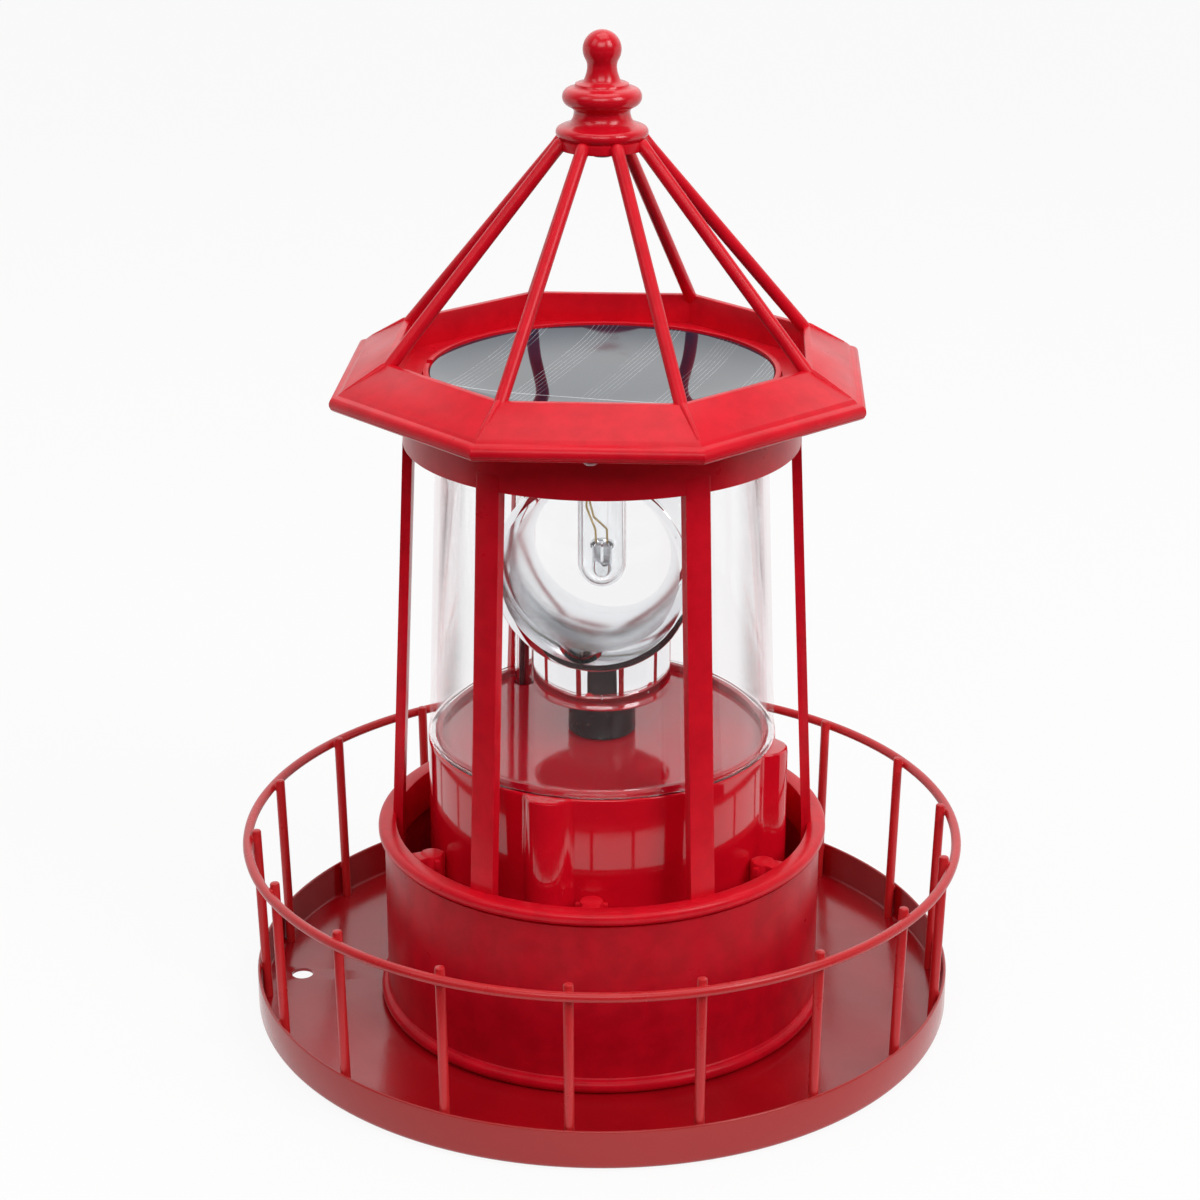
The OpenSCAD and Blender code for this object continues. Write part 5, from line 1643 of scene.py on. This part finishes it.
@dataclass
class Lamp(Part):
    """Glass lamp tube with the LED and its leads, in a black holder."""

    tube: float = 6.0
    wall: float = 0.8
    low: float = 108.0
    high: float = 149.3
    led: float = 2.5
    led_low: float = 110.0
    led_len: float = 8.6
    holder_low: float = 144.8
    housing: float = 150.8

    def build(self) -> None:
        """Makes the tube, the LED, the leads and the holder."""
        self._glass()
        self._led()
        self._leads()
        self._holder()

    def _glass(self) -> None:
        """Thin tube with a round bottom, open above."""
        centre = (0.0, self.low + self.tube)
        profile = arc(centre, self.tube, -90, 0, 16) + [(self.tube, self.high), (self.tube - self.wall, self.high)]
        profile += arc(centre, self.tube - self.wall, 0, -90, 16)
        deliver("lamp_glass_tube", Solid().lathe(profile, 72),
                self.finish.glass, Slot.LAMP, "lamp_tube", smooth_under=50)

    def _led(self) -> None:
        """Clear LED, dome down, with its flange up, and the metal cup and post inside."""
        top = self.led_low + self.led_len
        r = self.led
        profile = arc((0.0, self.led_low + r), r, -90, 0, 14)
        profile += [(r, top - 1.0), (r + 0.38, top - 0.95), (r + 0.4, top - 0.05), (r + 0.3, top), (0.0, top)]
        deliver("led_body", Solid().lathe(profile, 48), self.finish.resin, Slot.LED, "led", smooth_under=50)
        frame_top = top - 0.3
        inside = Solid()
        inside.prism(rect(-1.5, -0.25, -0.25, 0.25), frame_top - 4.4, frame_top, edge=0.06)
        inside.prism(rect(0.25, 1.5, -0.25, 0.25), frame_top - 4.9, frame_top, edge=0.06)
        inside.lathe([(0, frame_top - 5.1), (0.45, frame_top - 5.2), (0.8, frame_top - 4.6), (0.7, frame_top - 4.2),
                      (0, frame_top - 4.2)], 20, place=Matrix.Translation((0.5 * MM, 0, 0)))
        deliver("led_cup", inside, self.finish.steel, Slot.BRASS)

    def _leads(self) -> None:
        """Two bent leads from the LED up through the holder."""
        base = self.led_low + self.led_len
        top = 33.4
        near = [(-1.3, 0, -0.4), (-1.5, 0, 0.8), (-1.6, 0.2, 3.0), (-3.9, 0.4, 8.6), (-3.7, 0.4, 11.4),
                (-0.9, 0.2, 15.5), (-0.8, 0.2, top)]
        far = [(1.3, 0, -0.4), (1.2, -0.2, 3.4), (-2.0, -0.9, 6.6), (-3.1, -1.2, 11.0), (-2.6, -1.2, 15.0),
               (0.9, -0.6, 20.0), (0.9, -0.6, top)]
        for name, points, nodes in (("lead_near", near, ("led_leads",)), ("lead_far", far, ())):
            wire = self.shop.wires.make(name, [(x, y, z + base) for x, y, z in points], 0.27, 1.2,
                                        self.finish.brass)
            hand_over(wire, Body.HOUSING, Slot.BRASS, *nodes)

    def _holder(self) -> None:
        """Black sleeve and flange that the glass hangs in."""
        outline = [(6.1, self.holder_low), (7.9, self.holder_low), (7.9, self.housing - 1.4),
                   (10.1, self.housing - 1.4), (10.1, self.housing), (2.5, self.housing), (2.5, self.high + 0.1),
                   (6.1, self.high + 0.1)]
        deliver("holder_sleeve", Solid().lathe(softened(outline, 0.2), 72),
                self.finish.black, Slot.HUB, "lamp_holder")


@dataclass
class Conduit(Part):
    """Clear tube at the back left, with the two wires of the panel in it."""

    turn: float = -144.5
    circle: float = 35.0
    outer: float = 2.75
    bore: float = 2.05
    low: float = 69.4
    high: float = 152.8
    wire: float = 0.65

    def build(self) -> None:
        """Makes the tube and its wires."""
        spot = outward(self.turn, self.circle)
        outline = rect(self.bore, self.outer, self.low, self.high)
        deliver("conduit_wall", Solid().lathe(outline, 32, place=spot),
                self.finish.lens, Slot.LENS, "wire_conduit")
        for name, side, finish, nodes in (("wire_left", -1, self.finish.wire_red, ("power_wires",)),
                                          ("wire_right", 1, self.finish.wire_dark, ())):
            path = []
            for i in range(21):
                t = i / 20
                sway = 0.35 * math.sin(t * 9 + side) * math.sin(math.pi * t)
                path.append(Vector((sway, side * 0.72, self.low - 4 + t * (self.high + 7 - self.low))))
            deliver(name, Solid().tube(path, self.wire, 12, spot), finish, Slot.WIRE, *nodes, smooth_under=60)


@dataclass
class Carried(Part):
    """CAD nodes that keep their shape and get a finish of their own."""

    def build(self) -> None:
        """Assigns a finish to each carried node."""
        finish = self.finish
        table = {
            "finial_screw": finish.steel, "cage_screws": finish.steel, "roof_screws": finish.steel,
            "beacon_screws": finish.steel, "lens_gaskets": finish.rubber, "bottom_cover": finish.gloss,
            "bottom_cover_screws": finish.steel, "battery_cover": finish.gloss, "battery_cover_screws": finish.steel,
            "battery_seal": finish.rubber, "battery": finish.sleeve, "battery_contacts": finish.steel,
            "control_board": finish.board, "board_screws": finish.steel, "switch_body": finish.rubber,
            "switch_knob": finish.black, "gear_motor": finish.steel, "motor_plate": finish.steel,
            "motor_screws": finish.steel, "motor_pinion": finish.brass, "drive_gear": finish.pale,
            "drive_shaft": finish.steel, "shaft_bush": finish.brass,
        }
        for name, material in table.items():
            node = frame["nodes"][name]
            node.data.materials.clear()
            node.data.materials.append(material)
        LOG.info("%d carried nodes dressed", len(table))


# ---- Studio ---------------------------------------------------------------------------------------------------


@dataclass
class Studio:
    """Pale floor, soft lamps, pale surroundings and the photo's camera."""

    focal_px: float = 2722.3
    frame_px: float = 1200.0
    eye: Point3 = (-0.0005, -0.62114, 0.34134)
    pitch: float = 20.168
    centre_px: Point2 = (599.9, 570.8)

    def build(self) -> None:
        """Makes floor, world, lamps and camera."""
        self._camera()
        self._floor()
        self._flags()
        self._world()
        self._lamps()
        bpy.context.scene.view_settings.view_transform = "Standard"

    def _camera(self) -> None:
        """Camera worked out from the photo."""
        data = bpy.data.cameras.new("photo_camera")
        data.sensor_width = 36.0
        data.lens = self.focal_px / self.frame_px * 36.0
        data.shift_x = (self.frame_px / 2 - self.centre_px[0]) / self.frame_px
        data.shift_y = (self.centre_px[1] - self.frame_px / 2) / self.frame_px
        data.clip_start = 0.05
        data.clip_end = 20.0
        camera = bpy.data.objects.new("photo_camera", data)
        camera.location = self.eye
        camera.rotation_euler = (math.radians(90 - self.pitch), 0.0, 0.0)
        bpy.context.scene.collection.objects.link(camera)
        bpy.context.scene.camera = camera

    def _floor(self) -> None:
        """Pale floor that runs up into a backdrop all round."""
        rise = [(1.2, 0.0), (1.6, 0.03), (1.85, 0.14), (1.98, 0.32), (2.02, 0.6)]
        bm = bmesh.new()
        steps = 96
        centre = bm.verts.new((0, 0, -0.0002))
        turns = [2 * math.pi * s / steps for s in range(steps)]
        rings = [[bm.verts.new((r * math.cos(a), r * math.sin(a), z - 0.0002)) for a in turns] for r, z in rise]
        for s in range(steps):
            t = (s + 1) % steps
            bm.faces.new([centre, rings[0][s], rings[0][t]])
            for low, high in zip(rings, rings[1:]):
                bm.faces.new([low[s], high[s], high[t], low[t]])
        for face in bm.faces:
            face.smooth = True
        mesh = bpy.data.meshes.new("studio_floor")
        bm.to_mesh(mesh)
        bm.free()
        sk = ShaderSketch("studio_floor")
        tone = sk.noise(9.0, 2.0, 0.4)
        paper = sk.node("ShaderNodeBsdfDiffuse", {}, {
            "Color": sk.mix(tone * 0.2, (0.90, 0.90, 0.90), (0.86, 0.86, 0.86))})[0]
        glow = sk.node("ShaderNodeEmission", {}, {"Color": (1, 1, 1, 1), "Strength": 1.0})[0]
        path = sk.node("ShaderNodeLightPath")
        seen = (path["Is Camera Ray"] + path["Is Glossy Ray"] + path["Is Transmission Ray"]).clamped()
        both = sk.node("ShaderNodeMixShader", {}, {0: seen * 0.9, 1: paper, 2: glow})[0]
        floor = new_object("studio_floor", mesh, sk.finish(both))

    def _flags(self) -> None:
        """Dark cards on the table in front, which only the light's own surfaces see."""
        sk = ShaderSketch("studio_flag")
        tone = sk.noise(12.0, 2.0, 0.4)
        dark = sk.finish(sk.node("ShaderNodeBsdfDiffuse", {}, {
            "Color": sk.mix(tone * 0.3, (0.02, 0.018, 0.018), (0.035, 0.03, 0.03))})[0])
        for name, near, far, spread, height, through in (
                ("flag_wide", 0.19, 1.3, 78.0, 0.0008, False), ("flag_small", 0.1, 0.245, 24.0, 0.0014, True)):
            bm = bmesh.new()
            rows = []
            for step in range(25):
                a = math.radians(-90 - spread + 2 * spread * step / 24)
                rows.append([bm.verts.new((r * math.cos(a), r * math.sin(a), height)) for r in (near, far)])
            for one, two in zip(rows, rows[1:]):
                bm.faces.new([one[0], one[1], two[1], two[0]])
            if not through:
                heads = [bm.verts.new(row[1].co + Vector((0, 0, 0.75))) for row in rows]
                for i in range(24):
                    bm.faces.new([rows[i][1], heads[i], heads[i + 1], rows[i + 1][1]])
            mesh = bpy.data.meshes.new(name)
            bm.to_mesh(mesh)
            bm.free()
            card = new_object(name, mesh, dark)
            card.visible_camera = False
            card.visible_shadow = False
            card.visible_transmission = through
            card.visible_diffuse = not through
            card.visible_glossy = not through

    def _world(self) -> None:
        """Pale surroundings: white where they are seen, bright behind and dark in front in reflections."""
        world = bpy.data.worlds.new("surroundings")
        bpy.context.scene.world = world
        world.use_nodes = True
        sk = Sketch(world.node_tree)
        ahead = sk.node("ShaderNodeSeparateXYZ", {}, {0: sk.node("ShaderNodeTexCoord")["Generated"]})["Y"]
        sheen = sk.node("ShaderNodeMapRange", {"interpolation_type": "SMOOTHSTEP"}, {
            "Value": ahead, "From Min": -0.15, "From Max": 0.7, "To Min": 0.10, "To Max": 1.35})["Result"]
        soft, gloss, seen = (sk.node("ShaderNodeBackground", {}, {"Color": (1, 1, 1, 1), "Strength": strength})[0]
                             for strength in (0.3, sheen, 1.0))
        path = sk.node("ShaderNodeLightPath")
        around = sk.node("ShaderNodeMixShader", {}, {0: path["Is Glossy Ray"], 1: soft, 2: gloss})[0]
        direct = (path["Is Camera Ray"] + path["Is Transmission Ray"]).clamped()
        both = sk.node("ShaderNodeMixShader", {}, {0: direct, 1: around, 2: seen})[0]
        sk.node("ShaderNodeOutputWorld", {}, {"Surface": both})

    def _lamps(self) -> None:
        """Large soft lamps above and in front, a key at the upper right and a weaker one at the upper left."""
        for name, place, size, power in (
                ("lamp_left", (-0.95, -0.55, 1.25), (0.6, 0.8), 2.5),
                ("lamp_right", (1.0, -0.75, 1.05), (0.6, 0.9), 10.2),
                ("lamp_front", (-0.1, -1.3, 1.15), (1.1, 0.6), 7.3),
                ("lamp_top", (0.1, 0.05, 1.6), (1.1, 1.1), 7.1)):
            data = bpy.data.lights.new(name, "AREA")
            data.shape = "RECTANGLE"
            data.size, data.size_y = size
            data.energy = power
            lamp = bpy.data.objects.new(name, data)
            lamp.location = place
            aim = Vector((0, 0, 0.11)) - Vector(place)
            lamp.rotation_euler = aim.to_track_quat("-Z", "Y").to_euler()
            bpy.context.scene.collection.objects.link(lamp)


def main() -> None:
    """Builds the light and the studio."""
    logging.basicConfig(level=logging.INFO, format="%(name)s: %(message)s")
    shop = Shop()
    for part in (DeckTray(shop), BaseDrum(shop), LanternCage(shop), RoofFrame(shop), SolarPanel(shop), LensTube(shop),
                 BeaconBase(shop), Reflector(shop), Lamp(shop), Conduit(shop), Carried(shop), Studio()):
        LOG.info("building %s", type(part).__name__)
        part.build()


if __name__ == "__main__":
    main()
